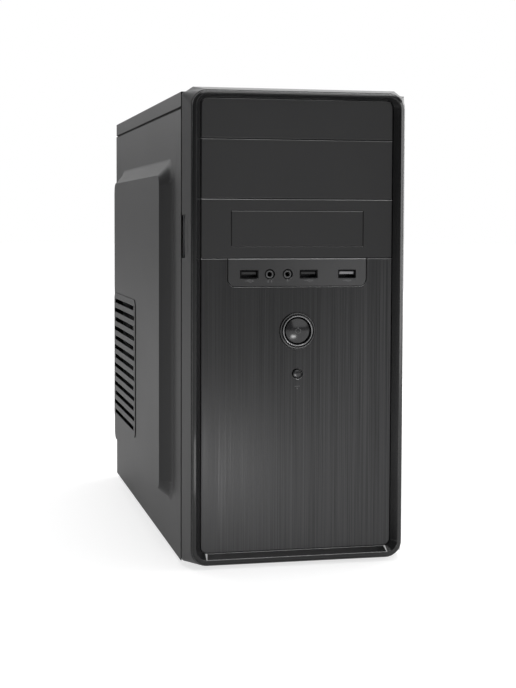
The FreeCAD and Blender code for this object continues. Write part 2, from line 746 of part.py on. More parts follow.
def bezel_frame():
    """Matt moulding behind the rim: tapered sides, a web that carries the covers, and snap hooks."""
    y_step = y_rim + frame_front_step
    outer = loft(
        rounded_loop((-x_side, x_side), (panel_bottom_z, z_top), (2.0,) * 4, facing_y(y_front)),
        rounded_loop(
            (-rim_x - frame_lip, rim_x + frame_lip), grown(rim_z, frame_lip), (rim_radius + frame_lip,) * 4,
            facing_y(y_step),
        ),
    )
    seat = front_plate(
        (-rim_x - 0.1, rim_x + 0.1), (y_rim - 1, y_web), grown(rim_z, 0.1), rim_radius + 0.1
    )
    inner_x = x_side - frame_wall
    inner_z = (panel_bottom_z + frame_wall, z_top - frame_wall)
    taper = (x_side - rim_x - frame_lip) * (y_front - y_web_back) / (y_front - y_step)
    hollow = loft(
        rounded_loop((-inner_x, inner_x), inner_z, (2.0,) * 4, facing_y(y_front)),
        rounded_loop((taper - inner_x, inner_x - taper), inner_z, (6.0,) * 4, facing_y(y_web_back)),
    )
    through = (y_web - 1, y_web_back + 1)
    cuts = [seat, hollow]
    for low, high in zip(cover_lines, cover_lines[1:]):
        cuts.append(box(window_x, through, (low + 2.0, high - 2.0)))
    cuts.append(box((port_x[0] + 4.0, port_x[1] - 4.0), through, (port_z[0] + 3.0, port_z[1] - 4.0)))
    cuts.append(rod(power_cap_radius + button_gap, (0, through[0], z_power), (0, through[1], z_power)))
    cuts.append(rod(reset_cap_radius + button_gap, (0, through[0], z_reset), (0, through[1], z_reset)))
    for s in (-1, 1):
        wall = (s * (inner_x - 2.5), s * (x_side + 1))
        cuts.append(box(wall, (y_front - grip_depth, y_front + 1), (grip_top_z - grip_height, grip_top_z)))
        slit = (s * (rim_x + 2.0), s * (x_side + 1))
        slit_y = (y_front - grip_slit_depth - grip_slit_width, y_front - grip_slit_depth)
        cuts.append(box(slit, slit_y, (grip_top_z - grip_height + 3.3, grip_top_z - 1.3)))
    hooks = []
    for x, z in hook_places:
        tip = y_web_back + clip_hook_length
        height = centred(z, clip_hook_height)
        hooks.append(box(centred(x, clip_hook_thickness), (y_web_back - 0.5, tip), height))
        hooks.append(
            box(centred(x, clip_hook_thickness + 2 * clip_hook_barb), (tip - 1.5, tip), height)
        )
    band = (y_front - seam_line, y_front + 1)
    inside = front_plate(
        (seam_line - x_side, x_side - seam_line), band, (panel_bottom_z + seam_line, z_top - seam_line), 1.4
    )
    around = box((-x_side - 1, x_side + 1), band, (rim_z[0] - 2.0, z_top + brow_rise + 1)).cut(inside)
    return join(join(outer, brow(y_step)).cut(cuts + [around]), *hooks)


def bay_cover(low, high, corner_radius, small_bay):
    """Blanking cover for a bay: a plate with softened edges and two tabs that hold it in the web."""
    z = (low + seam_gap / 2, high - seam_gap / 2)
    plate = front_plate(cover_x, (y_face, y_face + cover_thickness), z, (0.0, 0.0, corner_radius, corner_radius))
    front = [e for e in plate.Edges if all(abs(v.Point.y - y_face) < 1e-6 for v in e.Vertexes)]
    plate = plate.makeChamfer(0.5, front)
    tabs = []
    for s in (-1, 1):
        edge = s * (window_x[1] - slip)
        tabs.append(
            box(
                (edge, edge - s * cover_tab_thickness),
                (y_face + cover_thickness - 0.5, y_face + cover_thickness + cover_tab_length),
                centred((z[0] + z[1]) / 2, (z[1] - z[0]) * 0.45),
            )
        )
    shape = join(plate, *tabs)
    if small_bay:
        middle = (low + high) / 2
        opening = small_bay_width / 2
        seat = front_plate(
            (-opening - 0.2, opening + 0.2), (y_face - 1, y_face + small_cover_thickness + slip),
            grown(centred(middle, small_bay_height), 0.2), 0.6,
        )
        through = box(
            (-opening + small_bay_ledge, opening - small_bay_ledge), (y_face, y_face + 10.0),
            grown(centred(middle, small_bay_height), -small_bay_ledge),
        )
        shape = shape.cut([seat, through])
    return shape


def small_bay_cover():
    """Knock-out plate for the narrow bay, held by its own two tabs."""
    middle = (z_line_low + z_line_middle) / 2
    half = small_bay_width / 2
    z = centred(middle, small_bay_height)
    plate = front_plate(
        (-half + 0.1, half - 0.1), (y_face, y_face + small_cover_thickness), grown(z, -0.1), 0.5
    )
    front = [e for e in plate.Edges if all(abs(v.Point.y - y_face) < 1e-6 for v in e.Vertexes)]
    plate = plate.makeChamfer(0.35, front)
    tabs = []
    for s in (-1, 1):
        edge = s * (half - small_bay_ledge - slip)
        tabs.append(
            box((edge, edge - s * 1.2), (y_face + small_cover_thickness - 0.3, y_face + 6.0), centred(middle, 12.0))
        )
    return join(plate, *tabs)


usb_z = (z_ports - usb_height / 2, z_ports + usb_height / 2)
port_plate_y = (y_face, y_face + 2.0)


def lower_front_panel():
    """Brushed facing below the bays, with a notch for the port plate and holes for both buttons."""
    z = (face_z[0] + slip, z_line_low - seam_gap / 2)
    radius = face_radius - slip
    plate = front_plate(cover_x, (y_face, y_web), z, (radius, radius, 0.0, 0.0))
    front = [e for e in plate.Edges if all(abs(v.Point.y - y_face) < 1e-6 for v in e.Vertexes)]
    plate = plate.makeChamfer(0.4, front)
    notch = front_plate(
        grown(port_x, 0.45), (y_face - 1, y_web + 1), (port_z[0] - 0.45, port_z[1] + 10.0),
        (port_plate_radius + 0.45, port_plate_radius + 0.45, 0.0, 0.0),
    )
    ring_hole = rod(power_ring_radius + 0.1, (0, y_face - 1, z_power), (0, y_web + 1, z_power))
    reset_hole = rod(reset_cap_radius + 1.2, (0, y_face - 1, z_reset), (0, y_web + 1, z_reset))
    return plate.cut([notch, ring_hole, reset_hole])


def port_plate():
    """Moulded plate round the front ports."""
    plate = front_plate(port_x, (y_face, y_web), port_z, (port_plate_radius, port_plate_radius, 0.0, 0.0))
    front = [e for e in plate.Edges if all(abs(v.Point.y - y_face) < 1e-6 for v in e.Vertexes)]
    plate = plate.makeChamfer(0.4, front)
    through = (y_face - 1, y_web + 1)
    cuts = [
        front_plate(centred(x, usb_width + 0.7), through, grown(usb_z, 0.35), 0.5) for x in usb_places
    ]
    cuts += [rod(jack_nose_radius + 0.2, (x, through[0], z_ports), (x, through[1], z_ports)) for x in jack_places]
    return plate.cut(cuts)


def power_ring():
    """Turned trim round the power button: a flat step and a raised bead."""
    inner = power_cap_radius + button_gap
    outer = power_ring_radius
    depth = y_web - y_face
    profile = [
        (inner, depth), (outer, depth), (outer, -0.6), (outer - 0.5, -1.0), (outer - 1.5, -0.9),
        (outer - 1.8, -0.3), (outer - 2.1, -0.9), (outer - 2.5, -1.5), (inner + 0.3, -1.5), (inner, -1.1),
    ]
    return turned(profile, (0, y_face, z_power))


def push_button(radius, face_y, dome, stem_radius, z):
    """A cap that shows through the bezel, a flange that stops it behind the web, and a stem to the switch."""
    flange_y = y_web_back + slip
    crown = [(0, face_y - dome), (radius * 0.35, face_y - dome * 0.88), (radius * 0.65, face_y - dome * 0.58),
             (radius * 0.88, face_y - dome * 0.2), (radius, face_y)]
    back = [(radius, flange_y), (radius + 1.2, flange_y), (radius + 1.2, flange_y + 1.0),
            (stem_radius, flange_y + 1.0), (stem_radius, stem_end), (0, stem_end)]
    return turned([(r, y - y_front) for r, y in crown + back], (0, y_front, z))


switch_board_y = (y_wall_back + switch_board_gap, y_wall_back + switch_board_gap + board_thickness)
plunger_tip = switch_board_y[0] - switch_body_height - 2.2
stem_end = plunger_tip - slip

save("bezel_frame", bezel_frame())
save("bezel_rim", bezel_rim())
save("bay_cover_top", bay_cover(cover_lines[2], cover_lines[3], face_radius - slip, False))
save("bay_cover_middle", bay_cover(cover_lines[1], cover_lines[2], 0.0, False))
save("bay_cover_lower", bay_cover(cover_lines[0], cover_lines[1], 0.0, True))
save("small_bay_cover", small_bay_cover())
save("lower_front_panel", lower_front_panel())
save("port_plate", port_plate())
save("power_button_ring", power_ring())
save("power_button", push_button(power_cap_radius, y_face - 0.6, power_dome, 2.2, z_power))
save("reset_button", push_button(reset_cap_radius, y_face + 0.5, 0.4, 1.5, z_reset))

# ---------------------------------------------------------------- front ports and switches

port_front = y_face + 0.4
jack_body = 8.0


def usb_shells():
    """Folded steel shells of the three sockets, open at the front."""
    for x in usb_places:
        outer = box(centred(x, usb_width), (port_front, port_front + usb_length), usb_z)
        hollow = box(
            centred(x, usb_width - 2 * usb_wall), (port_front - 1, port_front + usb_length - 2.0),
            grown(usb_z, -usb_wall),
        )
        yield outer.cut(hollow)


def usb_tongues():
    """Contact tongues inside the shells."""
    for x in usb_places:
        span = (port_front + 1.5, port_front + usb_length - 2.0)
        yield box(centred(x, usb_width - 2.2), span, (z_ports - 0.1, z_ports + 1.8))


def audio_jacks():
    """Moulded jack bodies with round noses and a blind bore."""
    for x in jack_places:
        nose = rod(jack_nose_radius, (x, port_front, z_ports), (x, y_web_back + 1, z_ports))
        body = box(centred(x, jack_body), (y_web_back + 1, port_front + 17.0), (usb_z[0], z_ports + jack_body / 2))
        bore = rod(jack_bore_radius, (x, port_front - 1, z_ports), (x, port_front + jack_bore_length, z_ports))
        yield join(nose, body).cut(bore)


port_board_y = (y_web_back + 1.5, bracket_y_end - 2.0)
port_screw_places = [(x, bracket_y_end - 6.0) for x in (port_board_x[0] + 5.0, port_board_x[1] - 5.0)]


def port_board():
    """Circuit board under the front sockets."""
    board = box(port_board_x, port_board_y, (port_board_z - board_thickness, port_board_z))
    return board.cut(
        [rod(1.6, (x, y, port_board_z - 3), (x, y, port_board_z + 1)) for x, y in port_screw_places]
    )


def port_bracket():
    """Folded bracket on the front wall that carries the port board on two posts."""
    shelf = box(grown(port_board_x, -1.0), (y_wall_back, bracket_y_end), (bracket_z - sheet, bracket_z))
    leaf = box(grown(port_board_x, -1.0), (y_wall_back, y_wall_back + sheet), (bracket_z - 12.0, bracket_z))
    posts = [
        rod(2.6, (x, y, bracket_z - 0.1), (x, y, port_board_z - board_thickness)) for x, y in port_screw_places
    ]
    bores = [rod(1.2, (x, y, bracket_z - 2), (x, y, port_board_z)) for x, y in port_screw_places]
    return join(shelf, leaf, *posts).cut(bores)


def switch_board():
    """Upright board behind the buttons, on two posts from the front wall."""
    board = box(centred(0, 22.0), switch_board_y, switch_board_z)
    return board.cut(
        [rod(1.6, (0, switch_board_y[0] - 1, z), (0, switch_board_y[1] + 1, z)) for z in switch_post_z]
    )


def switch_posts():
    for z in switch_post_z:
        post = rod(2.6, (0, y_wall_back, z), (0, switch_board_y[0], z))
        yield post.cut(rod(1.2, (0, switch_board_y[0] - 6.0, z), (0, switch_board_y[0] + 1, z)))


def switch_housing(z):
    """Square tactile switch with a round guide for its plunger."""
    y = (switch_board_y[0] - switch_body_height, switch_board_y[0])
    body = box(centred(0, switch_body), y, centred(z, switch_body))
    guide = rod(plunger_radius + 0.08, (0, y[0] - 1, z), (0, y[1] - 0.4, z))
    return body.cut(guide)


def switch_plunger(z):
    return rod(plunger_radius, (0, plunger_tip, z), (0, switch_board_y[0] - 2.9, z))


def indicator_lamps():
    """Two small lamps on the switch board, for power and disk."""
    for z in (z_reset + 11.0, z_reset + 17.0):
        body = rod(1.5, (0, switch_board_y[0] - 4.0, z), (0, switch_board_y[0], z))
        dome = Part.makeSphere(1.5, Vector(0, switch_board_y[0] - 4.0, z))
        yield join(body, dome)


save("usb_shells", *usb_shells())
save("socket_mouldings", *usb_tongues(), *audio_jacks())
save("port_bracket", port_bracket())
save("front_boards", port_board(), switch_board(), *switch_posts(), *indicator_lamps())
save("button_switches", switch_housing(z_power), switch_housing(z_reset))
save("power_switch_plunger", switch_plunger(z_power))
save("reset_switch_plunger", switch_plunger(z_reset))

# ---------------------------------------------------------------- fans


def fan_frame(size, low, place, pitch):
    """Square fan frame on the plane that place gives: round duct, corner holes, hub disc on four struts."""
    height = place(low + fan_thickness)(0, 0) - place(low)(0, 0)
    block = Part.Face(rounded_loop(centred(0, size), centred(0, size), (4.0,) * 4, place(low))).extrude(height)
    up = Vector(height).normalize()
    origin = place(low)(0, 0)
    duct = Part.makeCylinder(size / 2 - 2.0, fan_thickness + 2, origin - up, up)
    half = pitch / 2
    holes = [
        Part.makeCylinder(2.2, fan_thickness + 2, place(low)(a * half, b * half) - up, up)
        for a in (-1, 1)
        for b in (-1, 1)
    ]
    hub = Part.makeCylinder(size * 0.19, 3.0, origin, up)
    struts = []
    for a, b in ((size * 0.49, 2.0), (2.0, size * 0.49)):
        bar = Part.Face(rounded_loop((-a, a), (-b, b), (0.5,) * 4, place(low)))
        struts.append(bar.extrude(up * 2.5))
    pin = Part.makeCylinder(1.5, 8.0, origin, up)
    return join(block.cut([duct] + holes), hub, *struts, pin)


def fan_rotor(size, low, place, blades=7):
    """Hub cup with pitched blades, bored for the frame's pin."""
    up = (place(low + 1)(0, 0) - place(low)(0, 0)).normalize()
    origin = place(low)(0, 0)
    hub_radius = size * 0.19
    base, top = 4.0, fan_thickness - 2.0
    hub = Part.makeCylinder(hub_radius, top - base, origin + up * base, up)
    bore = Part.makeCylinder(1.56, 6.5, origin + up * (base - 1), up)
    shape = [hub.cut(bore)]
    root, tip = hub_radius - 1.0, size / 2 - 3.0
    for k in range(blades):
        turn = 360.0 * k / blades
        wires = []
        for reach, lean in ((root, 26.0), (tip, 16.0)):
            sweep, r = reach * sin(radians(lean)), reach * cos(radians(lean))
            thick = 0.7
            low_point, high_point = base + 2.0, top - 2.0
            corners = [(-sweep, low_point), (-sweep + thick * 2, low_point), (sweep, high_point),
                       (sweep - thick * 2, high_point)]
            points = [Vector(r, a, h) for a, h in corners]
            wires.append(Part.makePolygon(points + points[:1]))
        blade = loft(*wires)
        blade.rotate(Vector(0, 0, 0), Vector(0, 0, 1), turn)
        blade.Placement = FreeCAD.Placement(origin, FreeCAD.Rotation(Vector(0, 0, 1), up)).multiply(blade.Placement)
        shape.append(blade)
    return join(*shape)


def about(centre, axis):
    """Gives a plane maker for fans: (across, up) about centre, at a distance along axis."""
    cx, cy, cz = centre
    return {
        "x": lambda d: lambda a, u: Vector(cx - d, cy + a, cz + u),
        "y": lambda d: lambda a, u: Vector(cx + a, cy - d, cz + u),
        "z": lambda d: lambda a, u: Vector(cx + a, cy + u, cz + d),
    }[axis]


rear_fan_place = about((rear_fan_x, y_rear_inner, rear_fan_z), "y")
save("rear_fan_frame", fan_frame(rear_fan_size, 0.0, rear_fan_place, rear_fan_pitch))
save("rear_fan_rotor", fan_rotor(rear_fan_size, 0.0, rear_fan_place))

# ---------------------------------------------------------------- power supply

psu_x = centred(0, psu_width)
psu_y = (psu_front, y_rear_inner)
psu_z = (psu_bottom, psu_top)
psu_fan_y = psu_y[0] + 3.0 + psu_fan_size / 2
psu_fan_place = about((0, psu_fan_y, psu_z[0] + psu_wall), "z")
inlet_x = psu_x[1] - 13.0 - inlet_width / 2
inlet_z = psu_z[0] + 22.0
rocker_x = inlet_x - inlet_width / 2 - 8.0 - rocker_width / 2


def psu_case():
    """Folded tray of the supply: bottom with a fan opening, front, and a back with openings and a honeycomb."""
    bottom = box(psu_x, psu_y, (psu_z[0], psu_z[0] + psu_wall))
    front = box(psu_x, (psu_y[0], psu_y[0] + psu_wall), psu_z)
    back = box(psu_x, (psu_y[1] - psu_wall, psu_y[1]), psu_z)
    air = Part.makeCylinder(
        psu_fan_size / 2 - 3.0, psu_wall + 2, Vector(0, psu_fan_y, psu_z[0] - 1), Vector(0, 0, 1)
    )
    through = (psu_y[1] - psu_wall - 1, psu_y[1] + 1)
    cuts = [air]
    cuts.append(box(centred(inlet_x, inlet_width + 0.4), through, centred(inlet_z, inlet_height + 0.4)))
    cuts.append(box(centred(rocker_x, rocker_width + 3.4), through, centred(inlet_z, rocker_height + 3.4)))
    cuts += [rod(small_screw_hole, (x, through[0], z), (x, through[1], z)) for x, z in psu_screws]

    def in_comb(a, u):
        return not (a > rocker_x - 14.0 and u < inlet_z + 17.0)

    comb = hex_holes(grown(psu_x, -18.0), grown(psu_z, -14.0), 8.0, 6.4, in_comb)
    cuts += [hex_prism(a, u, r, through, facing_y) for a, u, r in comb]
    lead_hole = rod(power_lead_radius + 1.0, (lead_x, psu_y[0] - 1, lead_z), (lead_x, psu_y[0] + 2, lead_z))
    return join(bottom, front, back).cut(cuts + [lead_hole])


def psu_cover():
    """Folded lid of the supply: top and two sides, inside the tray's front and back."""
    y = (psu_y[0] + psu_wall, psu_y[1] - psu_wall)
    top = box(psu_x, y, (psu_z[1] - psu_wall, psu_z[1]))
    sides = [
        box((s * (psu_width / 2 - psu_wall), s * psu_width / 2), y, (psu_z[0] + psu_wall, psu_z[1]))
        for s in (-1, 1)
    ]
    vents = [
        box((psu_x[0] - 1, psu_x[0] + 2), centred(psu_y[0] + 30.0 + 9.0 * i, 4.0), centred(psu_z[0] + 55.0, 22.0))
        for i in range(8)
    ]
    return join(top, *sides).cut(vents)


def psu_grille():
    """Wire guard under the supply's fan: rings welded to two cross wires."""
    wire = 0.8
    z = psu_z[0] - wire
    centre = Vector(0, psu_fan_y, z)
    rings = [Part.makeTorus(r, wire, centre, Vector(0, 0, 1)) for r in (16.0, 27.0, 38.0, 49.0)]
    reach = psu_fan_size / 2 - 1.0
    arm = reach * sqrt(0.5)
    low = z - 1.4 * wire
    bars = [rod(wire, (-arm, psu_fan_y - a * arm, low), (arm, psu_fan_y + a * arm, low)) for a in (-1, 1)]
    guard = bars[0].fuse(bars[1])
    for ring in rings:
        guard = guard.fuse(ring)
    return guard


def psu_circuit():
    """Circuit board of the supply with its heat sinks, transformer and large capacitors."""
    z = psu_z[1] - psu_wall - 6.0
    y = grown(psu_y, -6.0)
    board = box(grown(psu_x, -6.0), y, (z - board_thickness, z))
    low = z - board_thickness
    drop = low - (psu_z[0] + psu_wall + fan_thickness) - 2.0
    parts = [board]
    parts += [box(centred(sx * 28.0, 3.0), grown(y, -22.0), (low - drop, low)) for sx in (-1, 1)]
    parts.append(box(centred(0, 32.0), centred(psu_fan_y, 34.0), (low - drop * 0.9, low)))
    parts += [
        Part.makeCylinder(11.0, drop * 0.85, Vector(x, y[0] + 30.0, low), Vector(0, 0, -1)) for x in (-50.0, 50.0)
    ]
    posts = [
        rod(3.0, (sx * 60.0, py, z - 1), (sx * 60.0, py, psu_z[1] - psu_wall))
        for sx in (-1, 1)
        for py in (y[0] + 8.0, y[1] - 24.0)
    ]
    return join(*parts, *posts)


def mains_inlet():
    """Three-pin mains inlet set in the back of the supply."""
    y_face_out = psu_y[1] + sheet + 2.0
    y_back = y_face_out - inlet_depth
    body = front_plate(
        centred(inlet_x, inlet_width), (y_back, y_face_out), centred(inlet_z, inlet_height), (1.5, 1.5, 1.5, 1.5)
    )
    cavity = front_plate(
        centred(inlet_x, inlet_width - 3.0), (y_back + 2.0, y_face_out + 1), centred(inlet_z, inlet_height - 3.4),
        (1.0, 1.0, 5.0, 5.0),
    )
    pins = [
        box(centred(inlet_x + dx, 2.0), (y_back + 1.5, y_face_out - 5.5), centred(inlet_z + dz, 4.0))
        for dx, dz in ((-7.0, -2.0), (7.0, -2.0), (0.0, 2.0))
    ]
    return join(body.cut(cavity), *pins)


rocker_y = psu_y[1] + sheet + 1.0
rocker_pivot_y = rocker_y - 2.0


def rocker_housing():
    """Frame that holds the supply's rocker."""
    outer = box(
        centred(rocker_x, rocker_width + 3.0), (rocker_y - 14.0, rocker_y), centred(inlet_z, rocker_height + 3.0)
    )
    hollow = box(
        centred(rocker_x, rocker_width + 0.6), (rocker_y - 12.0, rocker_y + 1), centred(inlet_z, rocker_height + 1.4)
    )
    pin = rod(
        1.0, (rocker_x - rocker_width / 2 - 1.0, rocker_pivot_y, inlet_z),
        (rocker_x + rocker_width / 2 + 1.0, rocker_pivot_y, inlet_z),
    )
    return join(outer.cut(hollow), pin)


def rocker():
    """Rocker of the mains switch, pressed at its lower half and bored for its pin."""
    half = rocker_height / 2
    outline = [(-half, -5.5), (half, -5.5), (half, 1.2), (0, 2.2), (-half, 1.2)]
    points = [
        Vector(rocker_x - rocker_width / 2, rocker_pivot_y + out, inlet_z + up) for up, out in outline
    ]
    body = Part.Face(Part.makePolygon(points + points[:1])).extrude(Vector(rocker_width, 0, 0))
    trimmed = body.common(
        rod(half, (rocker_x - 20, rocker_pivot_y, inlet_z), (rocker_x + 20, rocker_pivot_y, inlet_z))
    )
    trimmed.rotate(Vector(rocker_x, rocker_pivot_y, inlet_z), Vector(1, 0, 0), rocker_throw / 2)
    bore = rod(1.08, (rocker_x - 20, rocker_pivot_y, inlet_z), (rocker_x + 20, rocker_pivot_y, inlet_z))
    return trimmed.cut(bore)


lead_x = psu_width / 2 - 28.0
lead_z = psu_bottom + 30.0
save("psu_case", psu_case())
save("psu_cover", psu_cover())
save("psu_fan_frame", fan_frame(psu_fan_size, 0.0, psu_fan_place, fan_hole_pitch[120.0] * psu_fan_size / 120.0))
save("psu_fan_rotor", fan_rotor(psu_fan_size, 0.0, psu_fan_place, 9))
save("psu_fan_grille", psu_grille())
save("psu_circuit_board", psu_circuit())
save("mains_sockets", mains_inlet(), rocker_housing())
save("mains_rocker", rocker())

# ---------------------------------------------------------------- mainboard


def on_board(y, z, height):
    """A block that stands on the component side of the mainboard."""
    return box((x_board_face - height, x_board_face), y, z)


def mainboard():
    """Bare circuit board with its fixing holes."""
    board = box((x_board_face, x_board), board_y, board_z)
    return board.cut([rod(1.9, (x_board_face - 1, y, z), (x_board + 1, y, z)) for y, z in standoff_places])


def rear_sockets():
    """Block of sockets at the back edge, with the hollow of each socket open to the rear."""
    y = (y_rear - 24.0, y_rear + 1.0)
    rows = [
        (3.0, 14.0, 28.0),
        (27.0, 14.0, 14.5),
        (45.0, 14.0, 14.5),
        (64.0, 18.0, 16.0),
        (86.0, 30.0, 32.0),
        (122.0, 16.0, 34.0),
    ]
    for start, length, height in rows:
        z = (port_bay_z[0] + 4.0 + start, port_bay_z[0] + 4.0 + start + length)
        block = on_board(y, z, height)
        mouth = box(
            (x_board_face - height + 1.6, x_board_face - 2.4), (y[1] - 10.0, y[1] + 1), grown(z, -1.4)
        )
        yield block.cut(mouth)


def port_shield():
    """Stamped shield round the rear sockets, sprung into the rear wall's opening."""
    lip = box(port_bay_x, (y_rear_inner - sheet, y_rear_inner), port_bay_z)
    plug = box(grown(port_bay_x, -1.8), (y_rear_inner - sheet, y_rear), grown(port_bay_z, -1.8))
    opening = box(
        (port_bay_x[0] + 5.0, x_board_face + 0.2), (y_rear_inner - 2, y_rear + 1), grown(port_bay_z, -6.0)
    )
    return join(lip, plug).cut(opening)


def memory_slots():
    for i in range(2):
        y = centred(memory_y + 9.5 * i, 6.5)
        body = on_board(y, memory_z, 6.0)
        groove = box((x_board_face - 7.0, x_board_face - 2.0), centred(memory_y + 9.5 * i, 1.7), memory_z)
        tower = box((x_board_face - 12.0, x_board_face), y, (memory_z[0] - 7.0, memory_z[0] - 0.2))
        guide = box((x_board_face - 13.0, x_board_face - 3.0), centred(memory_y + 9.5 * i, 1.7),
                    (memory_z[0] - 2.5, memory_z[0]))
        pivot = (x_board_face - latch_pivot_height, memory_z[1] + latch_pivot_out)
        middle = memory_y + 9.5 * i
        pin = rod(latch_pin_radius, (pivot[0], middle - 3.3, pivot[1]), (pivot[0], middle + 3.3, pivot[1]))
        cheeks = [
            box((pivot[0] - 1.5, x_board_face), centred(middle + s * 3.15, 0.5), (memory_z[1] - 2.0, pivot[1] + 1.5))
            for s in (-1, 1)
        ]
        foot = box((x_board_face - 1.2, x_board_face), y, (tower.BoundBox.ZMin, pivot[1] + 1.5))
        yield join(body, tower, foot, *cheeks, pin).cut([groove, guide])


def memory_modules():
    for i in range(2):
        y = centred(memory_y + 9.5 * i, 1.2)
        card = box((x_board_face - 2.2 - memory_height, x_board_face - 2.2), y, grown(memory_z, -0.4))
        chips = [
            box((x_board_face - 26.0, x_board_face - 13.0), (y[0] - 1.0, y[1] + 1.0), centred(z, 10.5))
            for z in (memory_z[0] + 12.0 + k * (memory_length - 24.0) / 7 for k in range(8))
        ]
        yield join(card, *chips)


def memory_latch(i):
    """Lever at the top end of a memory slot, on a pin across the slot."""
    y = centred(memory_y + 9.5 * i, 5.2)
    pivot = (x_board_face - latch_pivot_height, memory_z[1] + latch_pivot_out)
    lever = box((pivot[0] - 12.0, pivot[0] + 1.8), y, (pivot[1] - 1.6, pivot[1] + 1.6))
    thumb = box((pivot[0] - 14.0, pivot[0] - 11.0), y, (pivot[1] - 1.6, pivot[1] + 4.5))
    bore = rod(latch_pin_radius + 0.05, (pivot[0], y[0] - 1, pivot[1]), (pivot[0], y[1] + 1, pivot[1]))
    return join(lever, thumb).cut(bore)


def expansion_connectors():
    """Edge connectors in line with the slot covers: one long and three short."""
    for i, z in enumerate(slot_z):
        length = 88.0 if i == slot_count - 1 else 26.0
        y = (board_y[1] - 50.0 - length, board_y[1] - 50.0)
        block = on_board(y, centred(z, 7.4), 11.0)
        groove = box((x_board_face - 12.0, x_board_face - 3.0), grown(y, -2.0), centred(z, 1.8))
        yield block.cut(groove)


def board_connectors():
    """Supply socket, disk sockets and pin headers."""
    yield on_board(power_socket_y, power_socket_z, 12.5).cut(
        box((x_board_face - 13.0, x_board_face - 3.0), grown(power_socket_y, -1.4), grown(power_socket_z, -1.4))
    )
    for i in range(4):
        yield on_board(disk_socket_y, centred(disk_socket_z + 9.0 * i, 6.5), 9.0)
    yield on_board(centred(header_y, 12.0), centred(header_z, 5.0), 9.0)
    yield on_board(centred(socket_y + 50.0, 10.0), centred(board_z[1] - 10.0, 10.0), 11.0)


def board_components():
    """Chokes, capacitors, bridge chip and clock crystal."""
    for i in range(4):
        yield on_board(centred(socket_y + 46.0, 10.0), centred(socket_z - 26.0 + 15.0 * i, 10.0), 8.0)
    for i in range(5):
        y, z = socket_y + 58.0, socket_z - 30.0 + 14.0 * i
        yield rod(3.2, (x_board_face - 9.0, y, z), (x_board_face, y, z))
    for i in range(3):
        y, z = board_y[1] - 34.0, board_z[0] + 12.0 + 22.0 * i
        yield rod(3.2, (x_board_face - 10.0, y, z), (x_board_face, y, z))
    yield on_board(centred(board_y[1] - 60.0, 10.0), centred(slot_z[-1] + 22.0, 10.0), 1.4)


def bridge_heatsink():
    """Small finned sink on the bridge chip."""
    y, z = centred(bridge_y, 36.0), centred(bridge_z, 36.0)
    block = on_board(y, z, 14.0)
    grooves = [
        box((x_board_face - 15.0, x_board_face - 4.5), grown(y, 1.0), centred(z[0] + 4.5 + 4.5 * k, 2.6))
        for k in range(7)
    ]
    return block.cut(grooves)


def coin_cell():
    """Clock battery in its holder."""
    y, z = bridge_y, bridge_z - 38.0
    holder = rod(11.5, (x_board_face - 2.2, y, z), (x_board_face, y, z))
    cell = rod(10.0, (x_board_face - 4.6, y, z), (x_board_face - 2.0, y, z))
    return join(holder, cell)


def processor_socket():
    """Socket frame with the processor's lid in it."""
    frame = on_board(centred(socket_y, socket_size), centred(socket_z, socket_size), 5.0)
    lid = on_board(centred(socket_y, 30.0), centred(socket_z, 30.0), 7.0)
    return join(frame, lid)


cooler_y = centred(socket_y, cooler_size)
cooler_z = centred(socket_z, cooler_size)
cooler_face = x_board_face - 7.0
cooler_top = cooler_face - cooler_base - cooler_fin_height
cooler_fan_place = about((cooler_top, socket_y, socket_z), "x")
cooler_pins = [(socket_y + a * 33.0, socket_z + b * 33.0) for a in (-1, 1) for b in (-1, 1)]


def heatsink():
    """Aluminium block with straight fins, on the processor's lid."""
    block = box((cooler_top, cooler_face), cooler_y, cooler_z)
    count = 15
    pitch = cooler_size / count
    grooves = [
        box((cooler_top - 1, cooler_face - cooler_base), grown(cooler_y, 1), centred(cooler_z[0] + pitch * (k + 1), pitch * 0.62))
        for k in range(count - 1)
    ]
    holes = [rod(4.2, (cooler_top - 1, y, z), (cooler_face + 1, y, z)) for y, z in cooler_pins]
    return block.cut(grooves + holes)


def push_pins():
    """Spring pins that hold the cooler to the mainboard."""
    for y, z in cooler_pins:
        foot = rod(3.6, (x_board_face - 3.0, y, z), (x_board_face, y, z))
        stem = rod(2.0, (cooler_top + 2.0, y, z), (x_board_face - 2.0, y, z))
        cap = rod(3.9, (cooler_top + 2.0, y, z), (cooler_top + 9.0, y, z))
        yield join(foot, stem, cap)


memory_y = board_y[0] + 26.0
memory_z = (board_z[1] - 12.0 - memory_length, board_z[1] - 12.0)
latch_pivot_height = 5.0
latch_pivot_out = 3.2
latch_pin_radius = 1.0
power_socket_y = (board_y[0] + 3.0, board_y[0] + 13.0)
power_socket_z = centred(board_z[1] - 70.0, 54.0)
disk_socket_y = (board_y[0] + 3.0, board_y[0] + 21.0)
disk_socket_z = board_z[0] + 46.0
header_y = board_y[0] + 40.0
header_z = board_z[0] + 6.0
bridge_y = board_y[0] + 40.0
bridge_z = board_z[0] + 64.0

save("mainboard", mainboard())
save("rear_sockets", *rear_sockets())
save("port_shield", port_shield())
save("memory_slots", *memory_slots())
save("memory_modules", *memory_modules())
save("memory_latch_front", memory_latch(0))
save("memory_latch_rear", memory_latch(1))
save("board_connectors", *expansion_connectors(), *board_connectors())
save("board_components", *board_components(), bridge_heatsink(), coin_cell())
save("processor_and_socket", processor_socket())
save("cooler_heatsink", heatsink())
save("cooler_fan_frame", fan_frame(cooler_size, 0.0, cooler_fan_place, fan_hole_pitch[80.0]), *push_pins())
save("cooler_fan_rotor", fan_rotor(cooler_size, 0.0, cooler_fan_place))

# ---------------------------------------------------------------- drives, slot covers, screws and leads


